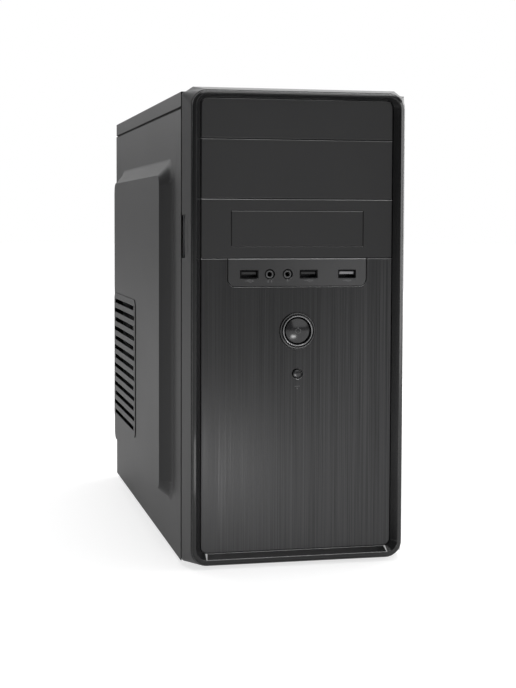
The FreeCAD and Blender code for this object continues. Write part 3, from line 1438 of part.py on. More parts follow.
def hard_disk():
    """Hard disk with a stepped lid, a spindle cap and side holes."""
    x = centred(0, disk_width)
    z = (disk_z0, disk_z0 + disk_height)
    body = box(x, disk_y, (z[0] + 2.0, z[1] - 3.0))
    lid = box(grown(x, -4.0), grown(disk_y, -5.0), (z[1] - 3.5, z[1]))
    spindle = Part.makeCylinder(14.0, 0.8, Vector(0, disk_y[0] + 50.0, z[1] - 0.2), Vector(0, 0, 1))
    board = box(grown(x, -6.0), grown(disk_y, -8.0), z)
    holes = [
        rod(1.45, (s * disk_width / 2 + s, y, z[0] + disk_hole_height), (s * (disk_width / 2 - 6.0), y, z[0] + disk_hole_height))
        for s in (-1, 1)
        for y in disk_screw_y
    ]
    socket = box(centred(disk_socket_x, 22.0), (disk_y[1] - 6.0, disk_y[1] + 1), (z[0] + 2.5, z[0] + 8.0))
    return join(body, lid, board, spindle).cut(holes + [socket])


def slot_covers():
    """Blank plates behind the expansion openings."""
    for z in slot_z:
        plate = front_plate(
            slot_cover_x, (y_rear_inner - 0.9, y_rear_inner), centred(z, slot_cover_width), 1.0
        )
        x = slot_cover_x[0] + 5.0
        yield plate.cut(rod(small_screw_hole, (x, y_rear_inner - 2, z), (x, y_rear_inner + 1, z)))


def case_screws():
    """Screws at the back of the case: supply, fan and slot covers."""
    for x, z in psu_screws + slot_screws:
        yield screw((x, y_rear, z), (0, -1, 0), small_screw_radius, 5.0, 3.4, 1.8)
    for x, z in rear_fan_screws:
        yield screw((x, y_rear, z), (0, -1, 0), small_screw_radius, 9.0, 3.4, 1.8)


def inner_screws():
    """Screws inside the case: mainboard, disk, port board and switch board."""
    for y, z in standoff_places:
        yield screw((x_board_face, y, z), (1, 0, 0), small_screw_radius - 0.1, 5.0, 3.0, 1.6)
    for s in (-1, 1):
        for y in disk_screw_y:
            place = (s * (disk_cage_x + sheet), y, disk_z0 + disk_hole_height)
            yield screw(place, (-s, 0, 0), 1.35, 5.0, 3.2, 1.6)
    for x, y in port_screw_places:
        yield screw((x, y, port_board_z), (0, 0, -1), 1.1, 4.5, 2.4, 1.2)
    for z in switch_post_z:
        yield screw((0, switch_board_y[1], z), (0, -1, 0), 1.1, 5.5, 2.4, 1.2)


disk_socket_x = 20.0
disk_plug_z = disk_z0 + 5.2


def power_lead():
    """Sleeved supply lead from the supply's front to the mainboard socket, ending in its plug."""
    plug_z = power_socket_z[0] + 27.0
    plug_y = (power_socket_y[0] + power_socket_y[1]) / 2
    plug_x = x_board_face - 13.0
    plug = box((plug_x - 12.0, plug_x), grown(power_socket_y, -0.4), grown(power_socket_z, -1.0))
    tongue = box((plug_x, x_board_face - 3.2), grown(power_socket_y, -1.8), grown(power_socket_z, -1.8))
    head = plug_x - 12.0
    points = [
        (lead_x, psu_y[0] + 0.2, lead_z),
        (lead_x, psu_y[0] - 16.0, lead_z),
        (lead_x - 26.0, psu_y[0] - 38.0, lead_z - 22.0),
        (head - 30.0, plug_y + 2.0, plug_z + 34.0),
        (head - 22.0, plug_y, plug_z),
        (head, plug_y, plug_z),
    ]
    return tube(points, power_lead_radius), join(plug, tongue)


def disk_lead():
    """Data lead from the disk to the mainboard, with a plug at each end."""
    far_z = disk_socket_z + 9.0
    head = x_board_face - 9.0
    middle_y = (disk_socket_y[0] + disk_socket_y[1]) / 2 - 3.0
    disk_plug = box(centred(disk_socket_x, 20.0), (disk_y[1] - 5.5, disk_y[1] + 9.0), (disk_plug_z - 2.2, disk_plug_z + 2.4))
    board_plug = box((head - 9.0, head), centred(middle_y, 10.0), centred(far_z, 5.5))
    points = [
        (disk_socket_x, disk_y[1] + 9.0, disk_plug_z),
        (disk_socket_x, disk_y[1] + 21.0, disk_plug_z),
        (disk_socket_x + 2.0, disk_y[1] + 27.0, disk_plug_z - 26.0),
        (head - 34.0, middle_y - 1.0, far_z + 22.0),
        (head - 27.0, middle_y, far_z),
        (head - 9.0, middle_y, far_z),
    ]
    return tube(points, signal_lead_radius), disk_plug, board_plug


def switch_lead():
    """Lead from the switch board down behind the front wall and over the floor to the mainboard's pin header."""
    x, y = -7.0, y_wall_back + 4.4
    start_z = switch_board_z[0] + 1.0
    head = x_board_face - 9.0
    socket = box(centred(x, 6.0), (y - 2.6, switch_board_y[0]), (start_z, start_z + 8.0))
    plug = box((head - 10.0, head), centred(header_y, 10.0), centred(header_z, 4.6))
    floor_z = z_floor + signal_lead_radius + slip
    points = [
        (x, y, start_z),
        (x, y, floor_z),
        (x, header_y - 60.0, floor_z),
        (head - 30.0, header_y, header_z),
        (head - 10.0, header_y, header_z),
    ]
    return tube(points, signal_lead_radius), socket, plug


save("hard_disk", hard_disk())
save("slot_covers", *slot_covers())
save("screws", *case_screws(), *inner_screws())
save("power_lead", *power_lead())
save("disk_lead", *disk_lead())
save("switch_lead", *switch_lead())
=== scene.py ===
import math
import bmesh
import bpy
from mathutils import Matrix, Vector


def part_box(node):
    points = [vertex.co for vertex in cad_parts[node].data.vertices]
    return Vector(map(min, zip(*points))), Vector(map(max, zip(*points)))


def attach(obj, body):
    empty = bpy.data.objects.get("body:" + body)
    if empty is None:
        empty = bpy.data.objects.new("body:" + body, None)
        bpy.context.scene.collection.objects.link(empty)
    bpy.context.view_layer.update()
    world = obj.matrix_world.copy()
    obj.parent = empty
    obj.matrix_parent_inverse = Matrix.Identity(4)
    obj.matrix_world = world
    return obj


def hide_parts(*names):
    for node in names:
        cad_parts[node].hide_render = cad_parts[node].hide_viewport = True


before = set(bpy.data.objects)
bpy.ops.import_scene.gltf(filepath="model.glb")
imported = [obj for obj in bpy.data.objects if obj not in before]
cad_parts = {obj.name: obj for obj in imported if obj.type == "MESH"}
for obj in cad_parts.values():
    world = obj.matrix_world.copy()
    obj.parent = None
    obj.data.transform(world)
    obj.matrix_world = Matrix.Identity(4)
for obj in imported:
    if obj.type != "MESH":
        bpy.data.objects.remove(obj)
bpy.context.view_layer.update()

# ------------------------------------------------------------------ camera, floor and light
# A long lens at the height of the drive covers, a little to the left of the front, over pale card that runs
# out to white. Soft boxes stand behind, above, in front and on both sides, and a small one low in front.

mm = 0.001
scene = bpy.context.scene
scene.view_settings.view_transform = "Standard"
rim_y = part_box("bezel_rim")[0].y

lens = bpy.data.cameras.new("studio_camera")
lens.sensor_width = 36.0
lens.lens = 73.69
lens.shift_x, lens.shift_y = 0.0184, -0.0677
lens.clip_start, lens.clip_end = 0.05, 60.0
camera = bpy.data.objects.new("studio_camera", lens)
scene.collection.objects.link(camera)
turn, tilt, roll = math.radians(12.45), math.radians(3.11), math.radians(0.18)
to_the_left, in_front, above_floor = 0.26105, 0.99784, 0.25464
stand = Matrix.Translation((-to_the_left, rim_y - in_front, above_floor))
level = Matrix.Rotation(-turn, 4, "Z") @ Matrix.Rotation(math.pi / 2 - tilt, 4, "X")
camera.matrix_world = stand @ level @ Matrix.Rotation(roll, 4, "Z")
scene.camera = camera


class Wire:
    """A value on its way between shader nodes: arithmetic on it adds Math nodes."""

    def __init__(self, finish, socket):
        self.finish, self.socket = finish, socket

    def maths(self, operation, first, second=0.0):
        return self.finish.maths(operation, first, second)

    def __add__(self, other):
        return self.maths("ADD", self, other)

    def __sub__(self, other):
        return self.maths("SUBTRACT", self, other)

    def __rsub__(self, other):
        return self.maths("SUBTRACT", other, self)

    def __mul__(self, other):
        return self.maths("MULTIPLY", self, other)

    def __truediv__(self, other):
        return self.maths("DIVIDE", self, other)

    def __gt__(self, other):
        return self.maths("GREATER_THAN", self, other)

    def __lt__(self, other):
        return self.maths("LESS_THAN", self, other)

    __radd__, __rmul__ = __add__, __mul__

    def between(self, low, high, first=0.0, last=1.0):
        """Runs smoothly from first to last as the value goes from low to high."""
        kind = {"interpolation_type": "SMOOTHSTEP"}
        return self.finish.add("ShaderNodeMapRange", kind, {0: self, 1: low, 2: high, 3: first, 4: last})


class Finish:
    """One finish: a Principled material whose varying sockets are fed by expressions."""

    def __init__(self, name, colour, roughness, metallic=0.0, coat=0.0, coat_roughness=0.1, specular=0.5):
        self.material = bpy.data.materials.new(name)
        self.material.use_nodes = True
        self.material.diffuse_color = (*colour, 1.0)
        self.tree = self.material.node_tree
        self.shader = self.tree.nodes["Principled BSDF"]
        self.shader.inputs["Coat Roughness"].default_value = coat_roughness
        self.shader.inputs["Specular IOR Level"].default_value = specular
        self.set("Base Color", (*colour, 1.0))
        self.set("Roughness", roughness)
        self.set("Metallic", metallic)
        self.set("Coat Weight", coat)

    def set(self, socket, value):
        """Feeds one socket of the shader."""
        self.feed(self.shader.inputs[socket], value)

    def feed(self, socket, value):
        if isinstance(value, Wire):
            self.tree.links.new(value.socket, socket)
        else:
            socket.default_value = value

    def add(self, kind, settings=None, sockets=None, out=0):
        """Any node, from its type, its settings and what its sockets take, as the wire from one output."""
        node = self.tree.nodes.new(kind)
        for key, value in (settings or {}).items():
            setattr(node, key, value)
        for key, value in (sockets or {}).items():
            self.feed(node.inputs[key], value)
        return Wire(self, node.outputs[out])

    def maths(self, operation, first, second=0.0):
        """A Math node."""
        return self.add("ShaderNodeMath", {"operation": operation}, {0: first, 1: second})

    def place(self, scale=(1.0, 1.0, 1.0), shift=(0.0, 0.0, 0.0)):
        """Object coordinates, scaled and shifted."""
        spot = self.add("ShaderNodeTexCoord", out=3)
        return self.add("ShaderNodeMapping", {}, {"Vector": spot, "Location": shift, "Scale": scale})

    def along(self, axis):
        """How far along the object's x, y or z axis a point lies, in metres."""
        return self.add("ShaderNodeSeparateXYZ", {}, {0: self.place()}, out="xyz".index(axis))

    def noise(self, scale, detail=2.0, roughness=0.5, **where):
        """Cloudy noise, from 0 to 1, with features 1 / scale metres across."""
        scale = scale if isinstance(scale, tuple) else (scale,) * 3
        sockets = {"Vector": self.place(scale, **where), "Scale": 1.0}
        return self.add("ShaderNodeTexNoise", {}, {**sockets, "Detail": detail, "Roughness": roughness})

    def cells(self, scale, distance="EUCLIDEAN"):
        """Separate cells, 1 / scale metres across, each darkest at its middle."""
        sockets = {"Vector": self.place((scale,) * 3), "Scale": 1.0}
        return self.add("ShaderNodeTexVoronoi", {"feature": "F1", "distance": distance}, sockets)

    def mix(self, share, first, second):
        """A colour between two, by share."""
        first = first if isinstance(first, Wire) else (*first, 1.0)
        second = second if isinstance(second, Wire) else (*second, 1.0)
        return self.add("ShaderNodeMix", {"data_type": "RGBA"}, {0: share, 6: first, 7: second}, out=2)

    def relief(self, height, depth):
        """Bumps of a real depth in metres."""
        bump = self.add("ShaderNodeBump", {}, {"Strength": 1.0, "Distance": depth, "Height": height})
        self.set("Normal", bump)

    def upper_edges(self):
        """Picks out the eased edges that face up, from the note that note_edges leaves on them."""
        note = self.add("ShaderNodeAttribute", {"attribute_name": "upper_edge"}, out=2)
        return note.between(0.3, 0.8)


card = Finish("studio_card", (0.6, 0.6, 0.6), 0.9, specular=0.0)
grain = card.noise(14.0, 3.0)
card.set("Base Color", card.mix(grain, (0.50, 0.50, 0.50), (0.52, 0.52, 0.52)))
card.shader.inputs["Emission Strength"].default_value = 1.0
away = card.add("ShaderNodeVectorMath", {"operation": "LENGTH"}, {0: card.place()}, out=1)
glow = (away + grain * 0.1).between(0.35, 1.6)
seen = card.add("ShaderNodeLightPath")
dim = card.mix(glow, (0.32, 0.32, 0.32), (0.42, 0.42, 0.42))
card.set("Emission Color", card.mix(seen, dim, card.mix(glow, (0.70, 0.70, 0.70), (1.0, 1.0, 1.0))))
bm = bmesh.new()
bmesh.ops.create_circle(bm, cap_ends=True, segments=96, radius=14.0)
floor_mesh = bpy.data.meshes.new("studio_floor")
bm.to_mesh(floor_mesh)
bm.free()
floor_mesh.materials.append(card.material)
floor = bpy.data.objects.new("studio_floor", floor_mesh)
scene.collection.objects.link(floor)

sky = bpy.data.worlds.new("studio")
sky.use_nodes = True
sky_nodes = sky.node_tree.nodes
path = sky_nodes.new("ShaderNodeLightPath")
shade = sky_nodes.new("ShaderNodeMixRGB")
shade.inputs[1].default_value = (0.13, 0.13, 0.133, 1.0)
shade.inputs[2].default_value = (1.0, 1.0, 1.0, 1.0)
sky.node_tree.links.new(path.outputs["Is Camera Ray"], shade.inputs[0])
sky.node_tree.links.new(shade.outputs[0], sky_nodes["Background"].inputs["Color"])
scene.world = sky


def soft_light(name, place, width, height, radiance):
    """A flat soft box of an even brightness that faces the middle of the case."""
    target = (0.0, 0.0, 0.17)
    lamp = bpy.data.lights.new(name, "AREA")
    lamp.shape, lamp.size, lamp.size_y = "RECTANGLE", width, height
    lamp.energy = radiance * width * height * math.pi
    stand = bpy.data.objects.new(name, lamp)
    facing = (Vector(target) - Vector(place)).to_track_quat("-Z", "Y").to_matrix().to_4x4()
    stand.matrix_world = Matrix.Translation(place) @ facing
    scene.collection.objects.link(stand)


soft_light("backdrop_left", (-1.3, 3.0, 1.9), 2.0, 3.0, 1.3)
soft_light("backdrop_right", (1.25, 3.0, 1.7), 3.1, 3.0, 1.3)
soft_light("top_box", (0.3, 0.1, 2.3), 1.8, 2.0, 3.3)
soft_light("left_box", (-2.2, 0.6, 1.5), 1.0, 1.4, 0.3)
soft_light("right_strip", (1.5, -0.38, 0.35), 0.30, 1.4, 3.2)
soft_light("front_fill", (1.1, -2.6, 1.6), 3.2, 2.0, 0.85)
soft_light("right_rear_box", (2.4, 0.9, 0.6), 2.0, 1.6, 4.0)
soft_light("low_kicker", (-0.02, -0.50, 0.02), 0.10, 0.06, 9.0)

# ------------------------------------------------------------------ bottom pan and feet
# The pan is folded zinc-coated steel: floor, turned-up rails, foot holes and intake slots. The feet are
# moulded rubber plugs pushed through it from below.


def finished(name, bm, finish, body, replaces, smooth=35.0):
    """Closes a mesh and makes it a piece that rides on a body."""
    bmesh.ops.remove_doubles(bm, verts=bm.verts, dist=1e-6)
    mesh = bpy.data.meshes.new(name)
    bm.to_mesh(mesh)
    bm.free()
    mesh.shade_smooth()
    mesh.set_sharp_from_angle(angle=math.radians(smooth))
    mesh.materials.append(finish.material)
    made = bpy.data.objects.new(name, mesh)
    scene.collection.objects.link(made)
    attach(made, body)
    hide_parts(*replaces)
    return made


def round_edges(bm, width, segments=2, angle=30.0, only=None):
    """Rounds every edge that turns by more than the angle."""
    edges = [e for e in bm.edges if e.is_manifold and e.calc_face_angle(0.0) > math.radians(angle)]
    edges = [e for e in edges if only is None or only(e)]
    bmesh.ops.bevel(
        bm, geom=edges, offset=width, offset_type="OFFSET", segments=segments, profile=0.5,
        affect="EDGES", clamp_overlap=True, material=-1,
    )


def note_edges(bm, width=1.1 * mm):
    """Writes how far each narrow strip faces up: the eased edges that several finishes paint with a
    highlight.
    """
    note = bm.faces.layers.float.new("upper_edge")
    for face in bm.faces:
        if face.calc_area() < width * max(edge.calc_length() for edge in face.edges):
            face[note] = max(0.0, face.normal.z)


def shells(bm):
    """The separate solids in a mesh, each as its corners and the two corners of its box."""
    left, found = set(bm.verts), []
    while left:
        shell, edge = set(), [left.pop()]
        while edge:
            vert = edge.pop()
            shell.add(vert)
            near = {e.other_vert(vert) for e in vert.link_edges} - shell
            edge += near
            shell |= near
        left -= shell
        spread = [[v.co[k] for v in shell] for k in range(3)]
        found.append((shell, Vector([min(s) for s in spread]), Vector([max(s) for s in spread])))
    return found


def even_normals(made):
    """Keeps broad faces flat where a round meets them."""
    weighing = made.modifiers.new("even_normals", "WEIGHTED_NORMAL")
    weighing.keep_sharp = True
    return made


def eased(name, nodes, finish, body, width=0.25 * mm, segments=2, keep=None, first=None, smooth=35.0):
    """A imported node's shape with its sharp edges eased; keep picks solids by the corners of their boxes."""
    bm = bmesh.new()
    for node in nodes:
        bm.from_mesh(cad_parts[node].data)
    bmesh.ops.remove_doubles(bm, verts=bm.verts, dist=1e-6)
    if keep:
        waste = [vert for shell, low, high in shells(bm) if not keep(low, high) for vert in shell]
        bmesh.ops.delete(bm, geom=waste, context="VERTS")
    bmesh.ops.dissolve_limit(bm, angle_limit=math.radians(1.0), verts=bm.verts, edges=bm.edges)
    if first:
        first(bm)
    if width:
        round_edges(bm, width, segments)
    note_edges(bm)
    return even_normals(finished(name, bm, finish, body, nodes, smooth))


zinc = Finish("zinc_sheet", (0.50, 0.51, 0.52), 0.36, metallic=1.0)
spangle = zinc.cells(130.0)
cloud = zinc.noise(26.0, 3.0)
zinc.set("Base Color", zinc.mix(cloud, (0.40, 0.41, 0.42), (0.56, 0.57, 0.58)))
zinc.set("Roughness", 0.30 + spangle * 0.10 + cloud * 0.08)
zinc.relief(spangle + zinc.noise(900.0, 2.0) * 0.4, 0.00004)
eased("floor_pan", ["bottom_pan"], zinc, "case", 0.15 * mm, 1)

rubber = Finish("foot_rubber", (0.018, 0.018, 0.019), 0.72)
rubber.relief(rubber.noise(1500.0, 3.0), 0.00006)
rubber.set("Roughness", 0.66 + rubber.noise(200.0) * 0.14)
eased("foot_plugs", ["feet"], rubber, "case", 0.5 * mm, 3)

# ------------------------------------------------------------------ walls, tray and drive cages
# Pressed and folded sheets of the same zinc-coated steel: pierced front wall, rear wall with its honeycomb
# and openings, mainboard tray, the wide cage that hangs from the roof and the narrow one under it.

for node in ("front_wall", "rear_wall", "mainboard_tray", "optical_bay_cage", "disk_cage", "port_bracket"):
    eased(node + "_sheet", [node], zinc, "case", 0.12 * mm, 1)

# ------------------------------------------------------------------ roof cover
# Folded steel lid with a short flange down each side, powder-coated satin grey. It screws to both walls. The
# seams between the covers and the little step round the slotted pad get painted shade: near-black, rougher
# bands.

paint = Finish("grey_powder_coat", (0.024, 0.024, 0.025), 0.42)
speck = paint.noise(2600.0, 2.0)
drift = paint.noise(9.0, 2.0)
sheet_low, sheet_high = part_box("left_side_panel")
side, depth, height = paint.along("x"), paint.along("y"), paint.along("z")
# Painted shade: thin near-black bands under the roof flange, along each panel's front edge and round the pad
# step.
roof_seam_shade = (height > sheet_high.z - 0.6 * mm) * (height < sheet_high.z + 1.5 * mm)
front_seam_shade = depth < sheet_low.y + 0.5 * mm
pad_step_shade = (side > sheet_low.x + 0.06 * mm) * (side < sheet_low.x + 0.68 * mm)
painted_seam_shade = paint.maths("MAXIMUM", paint.maths("MAXIMUM", roof_seam_shade, front_seam_shade), pad_step_shade)
coat = paint.mix(drift, (0.015, 0.015, 0.0153), (0.019, 0.019, 0.0193))
paint.set("Base Color", paint.mix(painted_seam_shade, coat, (0.001, 0.001, 0.001)))
paint.set("Roughness", 0.40 + speck * 0.10 + drift * 0.05 + painted_seam_shade * 0.45)
paint.relief(speck, 0.00003)
eased("roof_lid", ["roof_cover"], paint, "case", 0.3 * mm, 2)

# ------------------------------------------------------------------ side panels
# Each is one sheet: a raised field pressed out of the middle with a broad sloping border, and on the left
# side a pad of thirteen slots. Inner clips hook the case rails and the rear flange takes two thumbscrews.

for side in ("left", "right"):
    eased(
        side + "_panel_sheet", [side + "_side_panel"], paint, side + "_panel", 0.25 * mm, 2,
        smooth=28.0,
    )

plated = Finish("plated_screw", (0.42, 0.42, 0.43), 0.3, metallic=1.0)
plated.set("Roughness", 0.24 + plated.noise(700.0, 3.0) * 0.2)
plated.relief(plated.noise((90.0, 4000.0, 4000.0), 1.0), 0.00001)
for side in ("left", "right"):
    screws = [side + "_thumbscrews"]
    eased(side + "_thumbscrew_pair", screws, plated, side + "_panel", 0.2 * mm, 2)

# ------------------------------------------------------------------ bezel frame
# Injection-moulded shell with a fine spark-eroded grain. It closes the front, carries every cover and clips
# into the front wall; each side has a finger notch.

grained = Finish("grained_plastic", (0.045, 0.045, 0.046), 0.5, specular=0.45)
pits = grained.noise(1900.0, 2.0, 0.6)
roof_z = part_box("roof_cover")[1].z
# Painted shade: the rear lip of the bezel, at the seam with the panels, is coloured near-black and made
# rough.
bezel_seam_shade = grained.along("y") > sheet_low.y - 1.75 * mm
# Painted highlight: the bezel colour is made lighter in a band along the brow's crest, at the height of the
# roof.
crest_highlight = grained.along("z").between(roof_z - 0.6 * mm, roof_z + 0.8 * mm)
resin = grained.mix(grained.noise(30.0), (0.058, 0.058, 0.0585), (0.065, 0.065, 0.0655))
resin = grained.mix(crest_highlight, resin, (0.11, 0.11, 0.11))
grained.set("Base Color", grained.mix(bezel_seam_shade, resin, (0.001, 0.001, 0.001)))
grained.set("Roughness", 0.30 + pits * 0.14 + bezel_seam_shade * 0.5)
grained.relief(pits, 0.00004)


def round_brow(bm):
    """Rounds the brow, which stands a little above the roof."""
    round_edges(bm, 1.3 * mm, 4, only=lambda e: min(v.co.z for v in e.verts) > roof_z + 0.2 * mm)


eased("bezel_shell", ["bezel_frame"], grained, "front_bezel", 0.2 * mm, 2, first=round_brow)

# ------------------------------------------------------------------ bezel rim
# The satin band round the front: rounded outside, a crisp bead, then a slope down to the covers with mitred
# corners. It is a separate polished moulding; its bead falls away to the outside.

satin = Finish("satin_black", (0.012, 0.012, 0.013), 0.3, coat=0.25, coat_roughness=0.1)
haze = satin.noise(60.0, 3.0)
rim_low, rim_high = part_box("bezel_rim")
corner, bead = 11.5 * mm, 3.2 * mm
aside = satin.maths("ABSOLUTE", satin.along("x"))
upward = satin.along("z")
# Painted highlight: near-white colour on the upward-facing eased edges of the rim's lower straight run.
foot = (upward < 100 * mm) * (aside < rim_high.x - 11.0 * mm)
painted_edge_highlight = (0.8, 0.8, 0.8)
colour_below_highlight = satin.mix(haze, (0.006, 0.006, 0.0063), (0.008, 0.008, 0.0084))
satin.set("Base Color", satin.mix(satin.upper_edges() * foot, colour_below_highlight, painted_edge_highlight))
satin.set("Roughness", 0.17 + haze * 0.08)
from_side = satin.maths("MAXIMUM", aside - (rim_high.x - corner), 0.0)
from_middle = satin.maths("ABSOLUTE", upward - (rim_low.z + rim_high.z) / 2)
from_end = satin.maths("MAXIMUM", from_middle - ((rim_high.z - rim_low.z) / 2 - corner), 0.0)
outward = satin.maths("SQRT", from_side * from_side + from_end * from_end) - (corner - bead)
share = satin.maths("MAXIMUM", outward / bead, 0.0)
right = satin.along("x").between(30 * mm, 80 * mm)
rounded_fall, straight_fall = 2.4, 2.0
fall = share * share * (1.0 - right) * rounded_fall + share * right * straight_fall
satin.relief(satin.noise(2400.0, 1.0) * 0.01 - fall, mm)
eased("rim_band", ["bezel_rim"], satin, "front_bezel", 0.22 * mm, 3, smooth=28.0)

# ------------------------------------------------------------------ drive bay covers
# Three moulded blanks, one over another, each held by tabs. The lowest one has a knock-out of its own for a
# narrow drive.

blank = Finish("cover_plastic", (0.02, 0.02, 0.021), 0.46, specular=0.5)
fine = blank.noise(2300.0, 2.0, 0.6)
# Painted highlight: the covers' upward-facing eased edges are coloured near-white, more strongly in some
# patches.
lit = blank.upper_edges() * blank.noise(9.0).between(0.3, 0.6, 0.4, 1.0)
colour_below_highlight = blank.mix(blank.noise(22.0), (0.016, 0.016, 0.0165), (0.020, 0.020, 0.0205))
blank.set("Base Color", blank.mix(lit, colour_below_highlight, painted_edge_highlight))
blank.set("Roughness", 0.36 + fine * 0.12)
blank.relief(fine, 0.000025)
for place in ("top", "middle", "lower"):
    cover = ["bay_cover_" + place]
    eased(place + "_drive_cover", cover, blank, place + "_blank", 0.55 * mm, 3)
eased("narrow_drive_cover", ["small_bay_cover"], blank, "small_blank", 0.35 * mm, 3)

# ------------------------------------------------------------------ lower front panel
# A tall plate with an upright brushed grain under clear satin lacquer, let into the bezel.

brushed = Finish("brushed_plate", (0.03, 0.03, 0.031), 0.4, metallic=0.35, coat=0.12, coat_roughness=0.3)
hair = brushed.noise((5200.0, 5200.0, 9.0), 2.0, 0.6)
long_hair = brushed.noise((1300.0, 1300.0, 3.0), 2.0, 0.6, shift=(3.0, 1.0, 2.0))
broad = brushed.noise((60.0, 60.0, 2.0), 1.0, shift=(7.0, 0.0, 1.0))
streak = (hair * 0.55 + long_hair * 0.38 + broad * 0.07).between(0.36, 0.64)
# Painted sheen: the plate is coloured darker at the upper left and lighter towards the lower right, where its
# streaks also stand out more. Its upward-facing eased edges get a painted highlight.
painted_sheen_slope = (brushed.along("x") - (brushed.along("z") - 120 * mm) * 0.6).between(-110 * mm, 110 * mm)
rare = brushed.noise((2600.0, 2600.0, 5.0), 1.0, shift=(1.0, 5.0, 4.0)).between(0.62, 0.74)
share = streak * painted_sheen_slope.between(0.0, 1.0, 0.28, 0.95) + rare * painted_sheen_slope * 0.8 + painted_sheen_slope * 0.22
metal = brushed.mix(share, (0.011, 0.011, 0.0115), (0.062, 0.062, 0.0635))
brushed.set("Base Color", brushed.mix(brushed.upper_edges(), metal, painted_edge_highlight))
brushed.set("Roughness", 0.32 + streak * 0.14 - rare * 0.08)
brushed.relief(hair * 0.5 + long_hair * 0.5, 0.00002)
eased("brushed_front", ["lower_front_panel"], brushed, "front_bezel", 0.3 * mm, 3)

# ------------------------------------------------------------------ port plate, ports and their marks
# Satin moulding with rounded ends let into the front. It frames three sockets with folded metal shells and
# two audio jacks with turned collars; under each is a small moulded mark.

satin_port = Finish("port_plastic", (0.02, 0.02, 0.021), 0.36, coat=0.15, coat_roughness=0.2)
dust = satin_port.noise(1800.0, 2.0)
# Painted sheen: the plate is coloured lighter towards the right. Its upward-facing eased edges get a painted
# highlight.
share = satin_port.noise(30.0) * 0.2 + satin_port.along("x").between(-40 * mm, 50 * mm) * 0.8
colour_below_highlight = satin_port.mix(share, (0.024, 0.024, 0.0245), (0.072, 0.072, 0.073))
satin_port.set("Base Color", satin_port.mix(satin_port.upper_edges(), colour_below_highlight, painted_edge_highlight))
satin_port.set("Roughness", 0.32 + dust * 0.1)
satin_port.relief(dust, 0.00002)
eased("port_strip", ["port_plate"], satin_port, "front_bezel", 0.3 * mm, 3)

shell = Finish("dark_nickel", (0.03, 0.03, 0.031), 0.26, metallic=1.0)
shell.set("Roughness", 0.2 + shell.noise(500.0, 2.0) * 0.14)
shell.relief(shell.noise((4000.0, 200.0, 200.0), 1.0), 0.000008)
eased("port_shells", ["usb_shells"], shell, "case", 0.12 * mm, 2)

tongue = Finish("grey_socket_plastic", (0.02, 0.02, 0.021), 0.42)
tongue.set("Roughness", 0.36 + tongue.noise(900.0) * 0.14)
tongue.relief(tongue.noise(1600.0), 0.00002)
pale = Finish("pale_socket_plastic", (0.34, 0.34, 0.35), 0.42)
pale.set("Roughness", 0.36 + pale.noise(900.0) * 0.14)
pale.relief(pale.noise(1600.0), 0.00002)
nose = Finish("jack_plastic", (0.11, 0.11, 0.112), 0.34)
nose.set("Roughness", 0.28 + nose.noise(900.0) * 0.14)
nose.relief(nose.noise(1600.0), 0.00002)
right_port = 25 * mm
eased(
    "dark_port_tongues", ["socket_mouldings"], tongue, "case", 0.12 * mm, 2,
    keep=lambda low, high: high.z - low.z < 3 * mm and low.x < right_port,
)
eased(
    "pale_port_tongue", ["socket_mouldings"], pale, "case", 0.12 * mm, 2,
    keep=lambda low, high: high.z - low.z < 3 * mm and low.x > right_port,
)
black = Finish("black_plastic", (0.018, 0.018, 0.019), 0.45)
black.set("Base Color", black.mix(black.noise(40.0), (0.015, 0.015, 0.016), (0.022, 0.022, 0.023)))
black.set("Roughness", 0.38 + black.noise(1200.0) * 0.14)
black.relief(black.noise(1600.0, 2.0), 0.00002)


def spun(name, outline, x, y, z, finish, body, node):
    """A turned piece on an axis from front to back: outline points are radius and depth in millimetres."""
    bm = bmesh.new()
    verts = [bm.verts.new((x + radius * mm, y + depth * mm, z)) for radius, depth in outline]
    edges = [bm.edges.new(pair) for pair in zip(verts, verts[1:])]
    bmesh.ops.spin(
        bm, geom=verts + edges, cent=(x, y, z), axis=(0.0, 1.0, 0.0), dvec=(0.0, 0.0, 0.0),
        angle=2 * math.pi, steps=96, use_merge=False, use_duplicate=False,
    )
    bmesh.ops.remove_doubles(bm, verts=bm.verts, dist=1e-6)
    bmesh.ops.recalc_face_normals(bm, faces=bm.faces)
    round_edges(bm, 0.14 * mm, 3, 24.0)
    return even_normals(finished(name, bm, finish, body, [node], 60.0))


plate_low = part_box("port_plate")[0]
jack_front, jack_z = plate_low.y + 0.4 * mm, plate_low.z + 8.9 * mm


def sink(bm):
    """Lets the jack bodies back a little, behind their collars."""
    fronts = [v for v in bm.verts if v.co.y < jack_front + mm]
    bmesh.ops.translate(bm, verts=fronts, vec=(0.0, 2.6 * mm, 0.0))


eased(
    "audio_jack_pair", ["socket_mouldings"], black, "case", 0.1 * mm, 1,
    keep=lambda low, high: high.z - low.z > 3 * mm, first=sink,
)
collar = [(1.75, 2.6), (1.75, 0.35), (2.0, 0.0), (2.6, 0.0), (2.9, 0.35), (2.9, 2.6), (1.75, 2.6)]
left_jack_x, right_jack_x = -21.1 * mm, -7.6 * mm
for side, x in (("left", left_jack_x), ("right", right_jack_x)):
    name = side + "_jack_collar"
    spun(name, collar, x, jack_front, jack_z, nose, "case", "socket_mouldings")

# Moulded marks, a hair proud of the surface: a forked line for data, headphones and a microphone for sound.


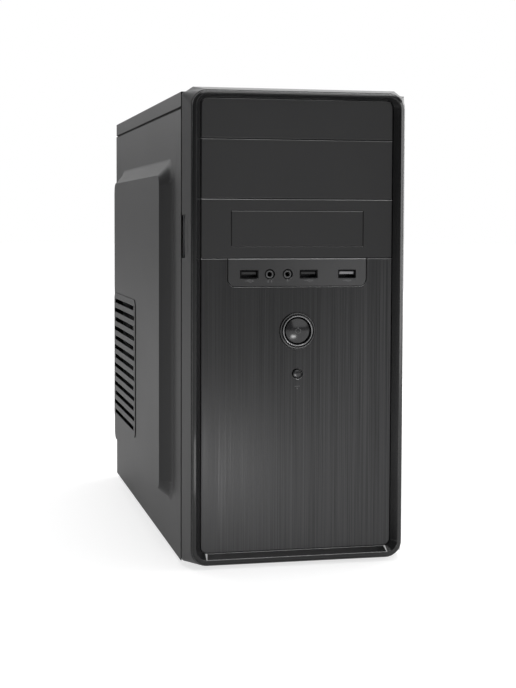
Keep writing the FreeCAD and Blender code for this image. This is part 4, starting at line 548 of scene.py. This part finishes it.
def stroke(bm, points, width, y):
    """A flat line through points on an upright plane, with its ends and bends rounded."""
    for (x0, z0), (x1, z1) in zip(points, points[1:]):
        run = Vector((x1 - x0, 0.0, z1 - z0))
        turned = Matrix.Rotation(-math.atan2(run.z, run.x), 4, "Y")
        middle = Matrix.Translation(((x0 + x1) / 2, y, (z0 + z1) / 2))
        made = bmesh.ops.create_grid(bm, x_segments=1, y_segments=1, size=0.5)["verts"]
        upright = Matrix.Rotation(math.pi / 2, 3, "X")
        bmesh.ops.rotate(bm, verts=made, cent=(0.0, 0.0, 0.0), matrix=upright)
        bmesh.ops.scale(bm, verts=made, vec=(run.length + width * 0.7, 1.0, width))
        bmesh.ops.transform(bm, verts=made, matrix=middle @ turned)
        bmesh.ops.bevel(
            bm, geom=made, offset=width * 0.3, segments=2, profile=0.5, affect="VERTICES",
            clamp_overlap=True, material=-1,
        )


def raised(name, bm, finish, body, node):
    """Thickens flat strokes a little and makes them a piece."""
    bmesh.ops.solidify(bm, geom=bm.faces[:], thickness=0.1 * mm)
    return finished(name, bm, finish, body, [node])


def arc(centre_x, centre_z, radius, start, end, steps=14):
    """Points along an arc, with its angles in degrees."""
    angles = [math.radians(start + (end - start) * i / steps) for i in range(steps + 1)]
    return [(centre_x + radius * math.cos(a), centre_z + radius * math.sin(a)) for a in angles]


mark = Finish("moulded_mark", (0.16, 0.16, 0.162), 0.4)
mark.set("Roughness", 0.34 + mark.noise(900.0) * 0.14)
mark.relief(mark.noise(1600.0), 0.00001)
plate_y, mark_z = plate_low.y - 0.06 * mm, plate_low.z + 4.1 * mm
port_marks = bmesh.new()
port_middles = (-36.6 * mm, 8.4 * mm, 37.8 * mm)
fork = (
    [(-3.2, 0.0), (3.0, 0.0)],
    [(-1.6, 0.0), (-0.4, 0.9), (1.2, 0.9)],
    [(-0.6, 0.0), (0.5, -0.9), (1.8, -0.9)],
    [(2.4, 0.5), (3.2, 0.0), (2.4, -0.5)],
)
for x in port_middles:
    for line in fork:
        stroke(port_marks, [(x + a * mm, mark_z + b * mm) for a, b in line], 0.3 * mm, plate_y)
x, headband, cup_top, cup_end = left_jack_x, 1.3 * mm, mark_z - 0.2 * mm, mark_z - 1.0 * mm
stroke(port_marks, arc(x, cup_top, headband, 0.0, 180.0), 0.3 * mm, plate_y)
for side in (-headband, headband):
    stroke(port_marks, [(x + side, cup_top), (x + side, cup_end)], 0.6 * mm, plate_y)
x = right_jack_x
stroke(port_marks, [(x, mark_z + 1.0 * mm), (x, mark_z + 0.1 * mm)], 0.8 * mm, plate_y)
stroke(port_marks, arc(x, mark_z + 0.3 * mm, 1.0 * mm, 180.0, 360.0), 0.25 * mm, plate_y)
stroke(port_marks, [(x, mark_z - 0.7 * mm), (x, mark_z - 1.2 * mm)], 0.25 * mm, plate_y)
raised("port_marks", port_marks, mark, "front_bezel", "port_plate")

# ------------------------------------------------------------------ power and reset buttons
# The power key is a domed glossy cap in a turned, polished ring whose two beads carry a painted highlight.
# The reset key is a small flat one. One mark is on the power key and another on the panel below the reset
# key.

polished = Finish("polished_ring", (0.10, 0.10, 0.102), 0.14, metallic=0.9, coat=0.4, coat_roughness=0.05)
polished.set("Roughness", 0.13 + polished.noise(300.0, 2.0) * 0.1)
polished.relief(polished.noise((2000.0, 200.0, 2000.0), 1.0), 0.000006)
key_low, key_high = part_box("power_button")
key_z = (key_low.z + key_high.z) / 2
aside = polished.along("x")
upward = polished.along("z") - key_z
radius = polished.maths("SQRT", aside * aside + upward * upward)
# The two bead bands are polished metal. Their light grey colour, brighter towards the bottom, is a painted
# highlight.
inner = (radius > 10.3 * mm) * (radius < 11.2 * mm) * upward.between(-10.0 * mm, 4.0 * mm, 1.5, 0.75)
outer = (radius > 12.2 * mm) * (radius < 12.9 * mm) * upward.between(-12.0 * mm, -3.0 * mm, 1.2, 0.2)
painted_bead_highlights = inner + outer
polished.set("Base Color", polished.mix(painted_bead_highlights, (0.005, 0.005, 0.0052), (0.36, 0.36, 0.365)))
polished.set("Metallic", painted_bead_highlights * 0.9)
face_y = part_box("lower_front_panel")[0].y
ring_back = [(10.2, 2.8), (13.5, 2.8)]
ring_outer_bead = [(13.5, -0.5), (13.15, -0.95), (12.5, -0.9)]
ring_groove = [(12.1, 0.3), (11.6, 0.3)]
ring_inner_bead = [(11.35, -1.0), (11.1, -1.4), (10.6, -1.4), (10.2, -0.9)]
ring = ring_back + ring_outer_bead + ring_groove + ring_inner_bead + ring_back[:1]
spun("power_ring", ring, 0.0, face_y, key_z, polished, "front_bezel", "power_button_ring")

gloss = Finish("gloss_key", (0.016, 0.016, 0.017), 0.22, coat=0.5, coat_roughness=0.2)
gloss.set("Roughness", 0.13 + gloss.noise(220.0, 3.0) * 0.08)
gloss.relief(gloss.noise(900.0, 1.0), 0.000004)
key_end = (key_high.y - face_y) / mm
dome = [(9.1 * step / 10, 1.9 * (step / 10) ** 2 - 2.1) for step in range(11)]
cap_side = [(9.3, 0.5), (9.8, 2.6), (9.8, 5.1)]
cap_flange = [(11.0, 5.1), (11.0, 6.1)]
cap_stem = [(2.2, 6.1), (2.2, key_end), (0.0, key_end)]
cap = dome + cap_side + cap_flange + cap_stem
spun("power_cap", cap, 0.0, face_y, key_z, gloss, "power_key", "power_button")
eased("reset_cap", ["reset_button"], gloss, "reset_key", 0.25 * mm, 3)
power_mark = bmesh.new()
mark_y = face_y - 2.05 * mm
stroke(power_mark, arc(0.0, key_z, 1.9 * mm, 125.0, 415.0, 24), 0.42 * mm, mark_y)
stroke(power_mark, [(0.0, key_z + 0.6 * mm), (0.0, key_z + 2.4 * mm)], 0.42 * mm, mark_y)
raised("power_mark", power_mark, mark, "power_key", "power_button")
reset_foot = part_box("reset_button")[0].z
panel_y = face_y - 0.05 * mm
reset_marks = bmesh.new()
for x in (-1.5 * mm, -0.5 * mm, 0.5 * mm, 1.5 * mm):
    stroke(reset_marks, [(x, reset_foot - 5.0 * mm), (x, reset_foot - 5.25 * mm)], 0.45 * mm, panel_y)
stroke(reset_marks, [(0.0, reset_foot - 6.4 * mm), (0.0, reset_foot - 7.2 * mm)], 0.4 * mm, panel_y)
raised("reset_marks", reset_marks, mark, "front_bezel", "lower_front_panel")

# ------------------------------------------------------------------ switches behind the front
# A small board on a steel bracket carries two switches, two lamps and their posts. The plungers are separate
# and move with the keys.

pcb = Finish("board_green", (0.012, 0.070, 0.030), 0.34, coat=0.35, coat_roughness=0.2)
track = pcb.maths("PINGPONG", pcb.noise(55.0, 1.0) * 26.0, 1.0).between(0.30, 0.42)
pad = pcb.cells(260.0, "MANHATTAN") < 0.16
lacquer = pcb.mix(track, (0.008, 0.042, 0.018), (0.013, 0.082, 0.034))
pcb.set("Base Color", pcb.mix(pad, lacquer, (0.42, 0.40, 0.34)))
pcb.set("Roughness", 0.30 + track * 0.1)
pcb.relief(track, 0.00003)
eased(
    "port_and_switch_boards", ["front_boards"], pcb, "case", 0.08 * mm, 1,
    keep=lambda low, high: max(high - low) > 20 * mm,
)
brass = Finish("turned_brass", (0.62, 0.42, 0.16), 0.28, metallic=1.0)
brass.set("Roughness", 0.22 + brass.noise(500.0) * 0.2)
brass.relief(brass.noise((4000.0, 200.0, 200.0), 1.0), 0.00001)
eased(
    "switch_board_posts", ["front_boards"], brass, "case", 0.15 * mm, 1,
    keep=lambda low, high: max(high - low) < 20 * mm and high.z - low.z > 4 * mm,
)
lamp_clear = Finish("lamp_resin", (0.30, 0.34, 0.30), 0.12, coat=0.5)
lamp_clear.set("Base Color", lamp_clear.mix(lamp_clear.noise(300.0), (0.26, 0.32, 0.26), (0.36, 0.40, 0.36)))
lamp_clear.relief(lamp_clear.noise(600.0), 0.00001)
eased(
    "lamps", ["front_boards"], lamp_clear, "case", 0.1 * mm, 1,
    keep=lambda low, high: max(high - low) < 20 * mm and high.z - low.z < 4 * mm,
)

eased("switch_bodies", ["button_switches"], black, "case", 0.12 * mm, 2)
for key in ("power", "reset"):
    plunger = [key + "_switch_plunger"]
    eased(key + "_plunger_stem", plunger, black, key + "_plunger", 0.12 * mm, 2)

# ------------------------------------------------------------------ fans
# Square moulded frames with round ducts and struts, and rotors with seven twisted blades round a hub. The
# cooler's frame is held by nylon push pins.

nylon = Finish("white_nylon", (0.56, 0.55, 0.50), 0.42)
nylon.set("Base Color", nylon.mix(nylon.noise(60.0), (0.50, 0.49, 0.44), (0.62, 0.61, 0.56)))
nylon.set("Roughness", 0.36 + nylon.noise(600.0) * 0.16)
nylon.relief(nylon.noise(1200.0), 0.00002)
for fan, body in (("rear_fan", "rear_fan"), ("psu_fan", "supply_fan"), ("cooler_fan", "cooler_fan")):
    eased(
        fan + "_housing", [fan + "_frame"], black, "case", 0.3 * mm, 2,
        keep=lambda low, high: max(high - low) > 50 * mm,
    )
    eased(fan + "_blades", [fan + "_rotor"], black, body, 0.2 * mm, 2)

eased(
    "cooler_push_pins", ["cooler_fan_frame"], nylon, "case", 0.2 * mm, 2,
    keep=lambda low, high: max(high - low) < 50 * mm,
)

# ------------------------------------------------------------------ power supply
# Plain plated box in two folded halves, with a wire guard under its fan. It also holds an inlet, a rocker
# and its own board.

eased("supply_box", ["psu_case", "psu_cover"], zinc, "case", 0.15 * mm, 1)

bright = Finish("bright_plate", (0.62, 0.62, 0.63), 0.2, metallic=1.0)
bright.set("Roughness", 0.16 + bright.noise(500.0, 2.0) * 0.14)
bright.relief(bright.noise((4000.0, 200.0, 200.0), 1.0), 0.000008)
eased("wire_guard", ["psu_fan_grille"], bright, "case", 0.0)
eased("supply_board", ["psu_circuit_board"], pcb, "case", 0.1 * mm, 1)
eased("mains_inlet", ["mains_sockets"], black, "case", 0.2 * mm, 2)
eased("rocker_key", ["mains_rocker"], black, "mains_key", 0.25 * mm, 2)

# ------------------------------------------------------------------ mainboard and what sits on it
# A green board on brass posts, with sockets at the rear edge, memory, the processor under its finned cooler,
# card slots and small parts.

eased("board_posts", ["board_standoffs"], brass, "case", 0.1 * mm, 1)
eased("main_circuit_board", ["mainboard"], pcb, "case", 0.08 * mm, 1)

tin = Finish("tinned_steel", (0.55, 0.55, 0.56), 0.26, metallic=1.0)
tin.set("Base Color", tin.mix(tin.noise(60.0, 3.0), (0.46, 0.46, 0.47), (0.62, 0.62, 0.63)))
tin.set("Roughness", 0.2 + tin.noise(300.0, 2.0) * 0.2)
tin.relief(tin.noise(500.0, 3.0), 0.00002)
eased("rear_socket_shells", ["rear_sockets"], tin, "case", 0.15 * mm, 2)


def pierced_web(bm):
    """Fills the shield's frame with thin tinplate that has a window for each rear socket."""
    thickness, inset, play = 0.3 * mm, 0.15 * mm, Vector((0.4, 0.0, 0.4)) * mm
    sockets = bmesh.new()
    sockets.from_mesh(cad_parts["rear_sockets"].data)
    windows = [(low - play, high + play) for shell, low, high in shells(sockets)]
    sockets.free()
    low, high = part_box("port_shield")
    low, high = low + 3 * play, high - 3 * play
    middle, size = (low + high) / 2, high - low
    web = bmesh.new()
    bmesh.ops.create_grid(web, x_segments=1, y_segments=1, size=0.5)
    upright = Matrix.Rotation(math.pi / 2, 3, "X")
    bmesh.ops.rotate(web, verts=web.verts, cent=(0.0, 0.0, 0.0), matrix=upright)
    bmesh.ops.scale(web, verts=web.verts, vec=(size.x, 1.0, size.z))
    bmesh.ops.translate(web, verts=web.verts, vec=(middle.x, low.y + inset, middle.z))
    for corner in [corner for window in windows for corner in window]:
        for across in ((1.0, 0.0, 0.0), (0.0, 0.0, 1.0)):
            parts = web.verts[:] + web.edges[:] + web.faces[:]
            bmesh.ops.bisect_plane(web, geom=parts, dist=1e-7, plane_co=corner, plane_no=across)
    middles = [(face, face.calc_center_median()) for face in web.faces]
    cut = [f for f, c in middles if any(a.x < c.x < b.x and a.z < c.z < b.z for a, b in windows)]
    bmesh.ops.delete(web, geom=cut, context="FACES")
    bmesh.ops.solidify(web, geom=web.faces[:], thickness=thickness)
    bmesh.ops.recalc_face_normals(web, faces=web.faces)
    plate = bpy.data.meshes.new("shield_web")
    web.to_mesh(plate)
    web.free()
    bm.from_mesh(plate)
    bpy.data.meshes.remove(plate)


eased("rear_port_shield", ["port_shield"], tin, "case", 0.08 * mm, 1, first=pierced_web)
lid = Finish("processor_lid", (0.5, 0.5, 0.5), 0.3, metallic=1.0)
under = lid.along("x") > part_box("processor_and_socket")[0].x + 2.6 * mm
lid.set("Base Color", lid.mix(under, (0.52, 0.52, 0.53), (0.03, 0.03, 0.032)))
lid.set("Metallic", 1.0 - under)
lid.set("Roughness", 0.24 + lid.noise(300.0) * 0.2)
lid.relief(lid.noise((60.0, 60.0, 1600.0), 1.0), 0.00002)
eased("processor", ["processor_and_socket"], lid, "case", 0.15 * mm, 2)
eased("card_slot_blanks", ["slot_covers"], tin, "case", 0.12 * mm, 1)
eased("memory_slot_bodies", ["memory_slots"], black, "case", 0.15 * mm, 1)
contacts = Finish("memory_board", (0.01, 0.05, 0.03), 0.34, coat=0.3)
fingers = contacts.maths("FRACT", contacts.along("z") / mm) > 0.35
edge = (contacts.along("x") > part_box("memory_modules")[1].x - 4.0 * mm) * fingers
contacts.set("Base Color", contacts.mix(edge, (0.010, 0.055, 0.032), (0.70, 0.48, 0.16)))
contacts.set("Metallic", edge * 1.0)
contacts.set("Roughness", 0.30 + contacts.noise(400.0) * 0.12)
contacts.relief(contacts.noise(500.0, 2.0), 0.00003)
eased("memory_boards", ["memory_modules"], contacts, "case", 0.1 * mm, 1)
for end in ("front", "rear"):
    latch = ["memory_latch_" + end]
    eased(end + "_memory_latch", latch, tongue, end + "_latch", 0.2 * mm, 2)
eased(
    "card_slots_and_headers", ["board_connectors"], black, "case", 0.15 * mm, 1,
    keep=lambda low, high: high.y - low.y > 19 * mm or low.z < 20 * mm,
)
eased(
    "power_and_fan_headers", ["board_connectors"], nylon, "case", 0.15 * mm, 1,
    keep=lambda low, high: high.y - low.y < 11 * mm and low.z > 100 * mm,
)
data_blue = Finish("data_socket_plastic", (0.02, 0.06, 0.22), 0.4)
data_blue.set("Roughness", 0.34 + data_blue.noise(600.0) * 0.14)
data_blue.relief(data_blue.noise(1200.0), 0.00002)
eased(
    "data_sockets", ["board_connectors"], data_blue, "case", 0.15 * mm, 1,
    keep=lambda low, high: 11 * mm < high.y - low.y < 19 * mm and low.z > 20 * mm,
)

cast = Finish("cast_aluminium", (0.60, 0.61, 0.62), 0.36, metallic=1.0)
cast.set("Base Color", cast.mix(cast.noise(40.0, 3.0), (0.50, 0.51, 0.52), (0.66, 0.67, 0.68)))
cast.set("Roughness", 0.30 + cast.noise(700.0, 2.0) * 0.16)
cast.relief(cast.noise((200.0, 2600.0, 200.0), 2.0), 0.00002)
eased("cooler_fins", ["cooler_heatsink"], cast, "case", 0.1 * mm, 1)
can = Finish("capacitor_can", (0.03, 0.03, 0.06), 0.3)
can_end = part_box("board_components")[0].x + 0.35 * mm
top = can.along("x") < can_end
can.set("Base Color", can.mix(top, (0.020, 0.022, 0.05), (0.55, 0.55, 0.56)))
can.set("Metallic", top * 1.0)
can.set("Roughness", 0.22 + can.noise(500.0) * 0.16)
can.relief(can.noise(900.0), 0.00002)
eased(
    "capacitors", ["board_components"], can, "case", 0.5 * mm, 3,
    keep=lambda low, high: high.z - low.z < 7 * mm,
)
ferrite = Finish("ferrite", (0.10, 0.10, 0.105), 0.55)
ferrite.set("Base Color", ferrite.mix(ferrite.noise(400.0, 4.0), (0.07, 0.07, 0.075), (0.14, 0.14, 0.145)))
ferrite.relief(ferrite.noise(1500.0, 3.0), 0.00005)
eased(
    "chokes_and_chip", ["board_components"], ferrite, "case", 0.5 * mm, 3,
    keep=lambda low, high: 7 * mm < high.z - low.z < 15 * mm,
)
eased(
    "bridge_heatsink", ["board_components"], cast, "case", 0.2 * mm, 1,
    keep=lambda low, high: high.z - low.z > 30 * mm,
)
eased(
    "coin_cell", ["board_components"], tin, "case", 0.3 * mm, 2,
    keep=lambda low, high: 15 * mm < high.z - low.z < 30 * mm,
)

# ------------------------------------------------------------------ hard disk, screws and leads
# A cast drive in the narrow cage, plated screws all round, and three leads: sleeved power, red data and thin
# grey switch wires.

eased("disk_drive", ["hard_disk"], cast, "case", 0.4 * mm, 3)
eased("case_screw_set", ["screws"], plated, "case", 0.15 * mm, 1)

sleeve = Finish("cable_sleeve", (0.02, 0.02, 0.021), 0.6)
weave = sleeve.cells(700.0)
sleeve.set("Base Color", sleeve.mix(weave, (0.014, 0.014, 0.015), (0.05, 0.05, 0.052)))
sleeve.set("Roughness", 0.5 + weave * 0.2)
sleeve.relief(weave, 0.0002)
eased("power_cable", ["power_lead"], sleeve, "case", 0.0)

red = Finish("red_cable", (0.42, 0.016, 0.014), 0.42)
red.set("Base Color", red.mix(red.noise(90.0), (0.36, 0.012, 0.011), (0.47, 0.020, 0.017)))
red.set("Roughness", 0.36 + red.noise(400.0) * 0.14)
red.relief(red.noise(900.0), 0.00002)
eased("disk_cable", ["disk_lead"], red, "case", 0.0)

wire = Finish("grey_wire", (0.16, 0.16, 0.17), 0.5)
wire.set("Base Color", wire.mix(wire.noise(120.0), (0.13, 0.13, 0.14), (0.20, 0.20, 0.21)))
wire.set("Roughness", 0.44 + wire.noise(400.0) * 0.14)
wire.relief(wire.noise(900.0), 0.00002)
eased("switch_cable", ["switch_lead"], wire, "case", 0.0)
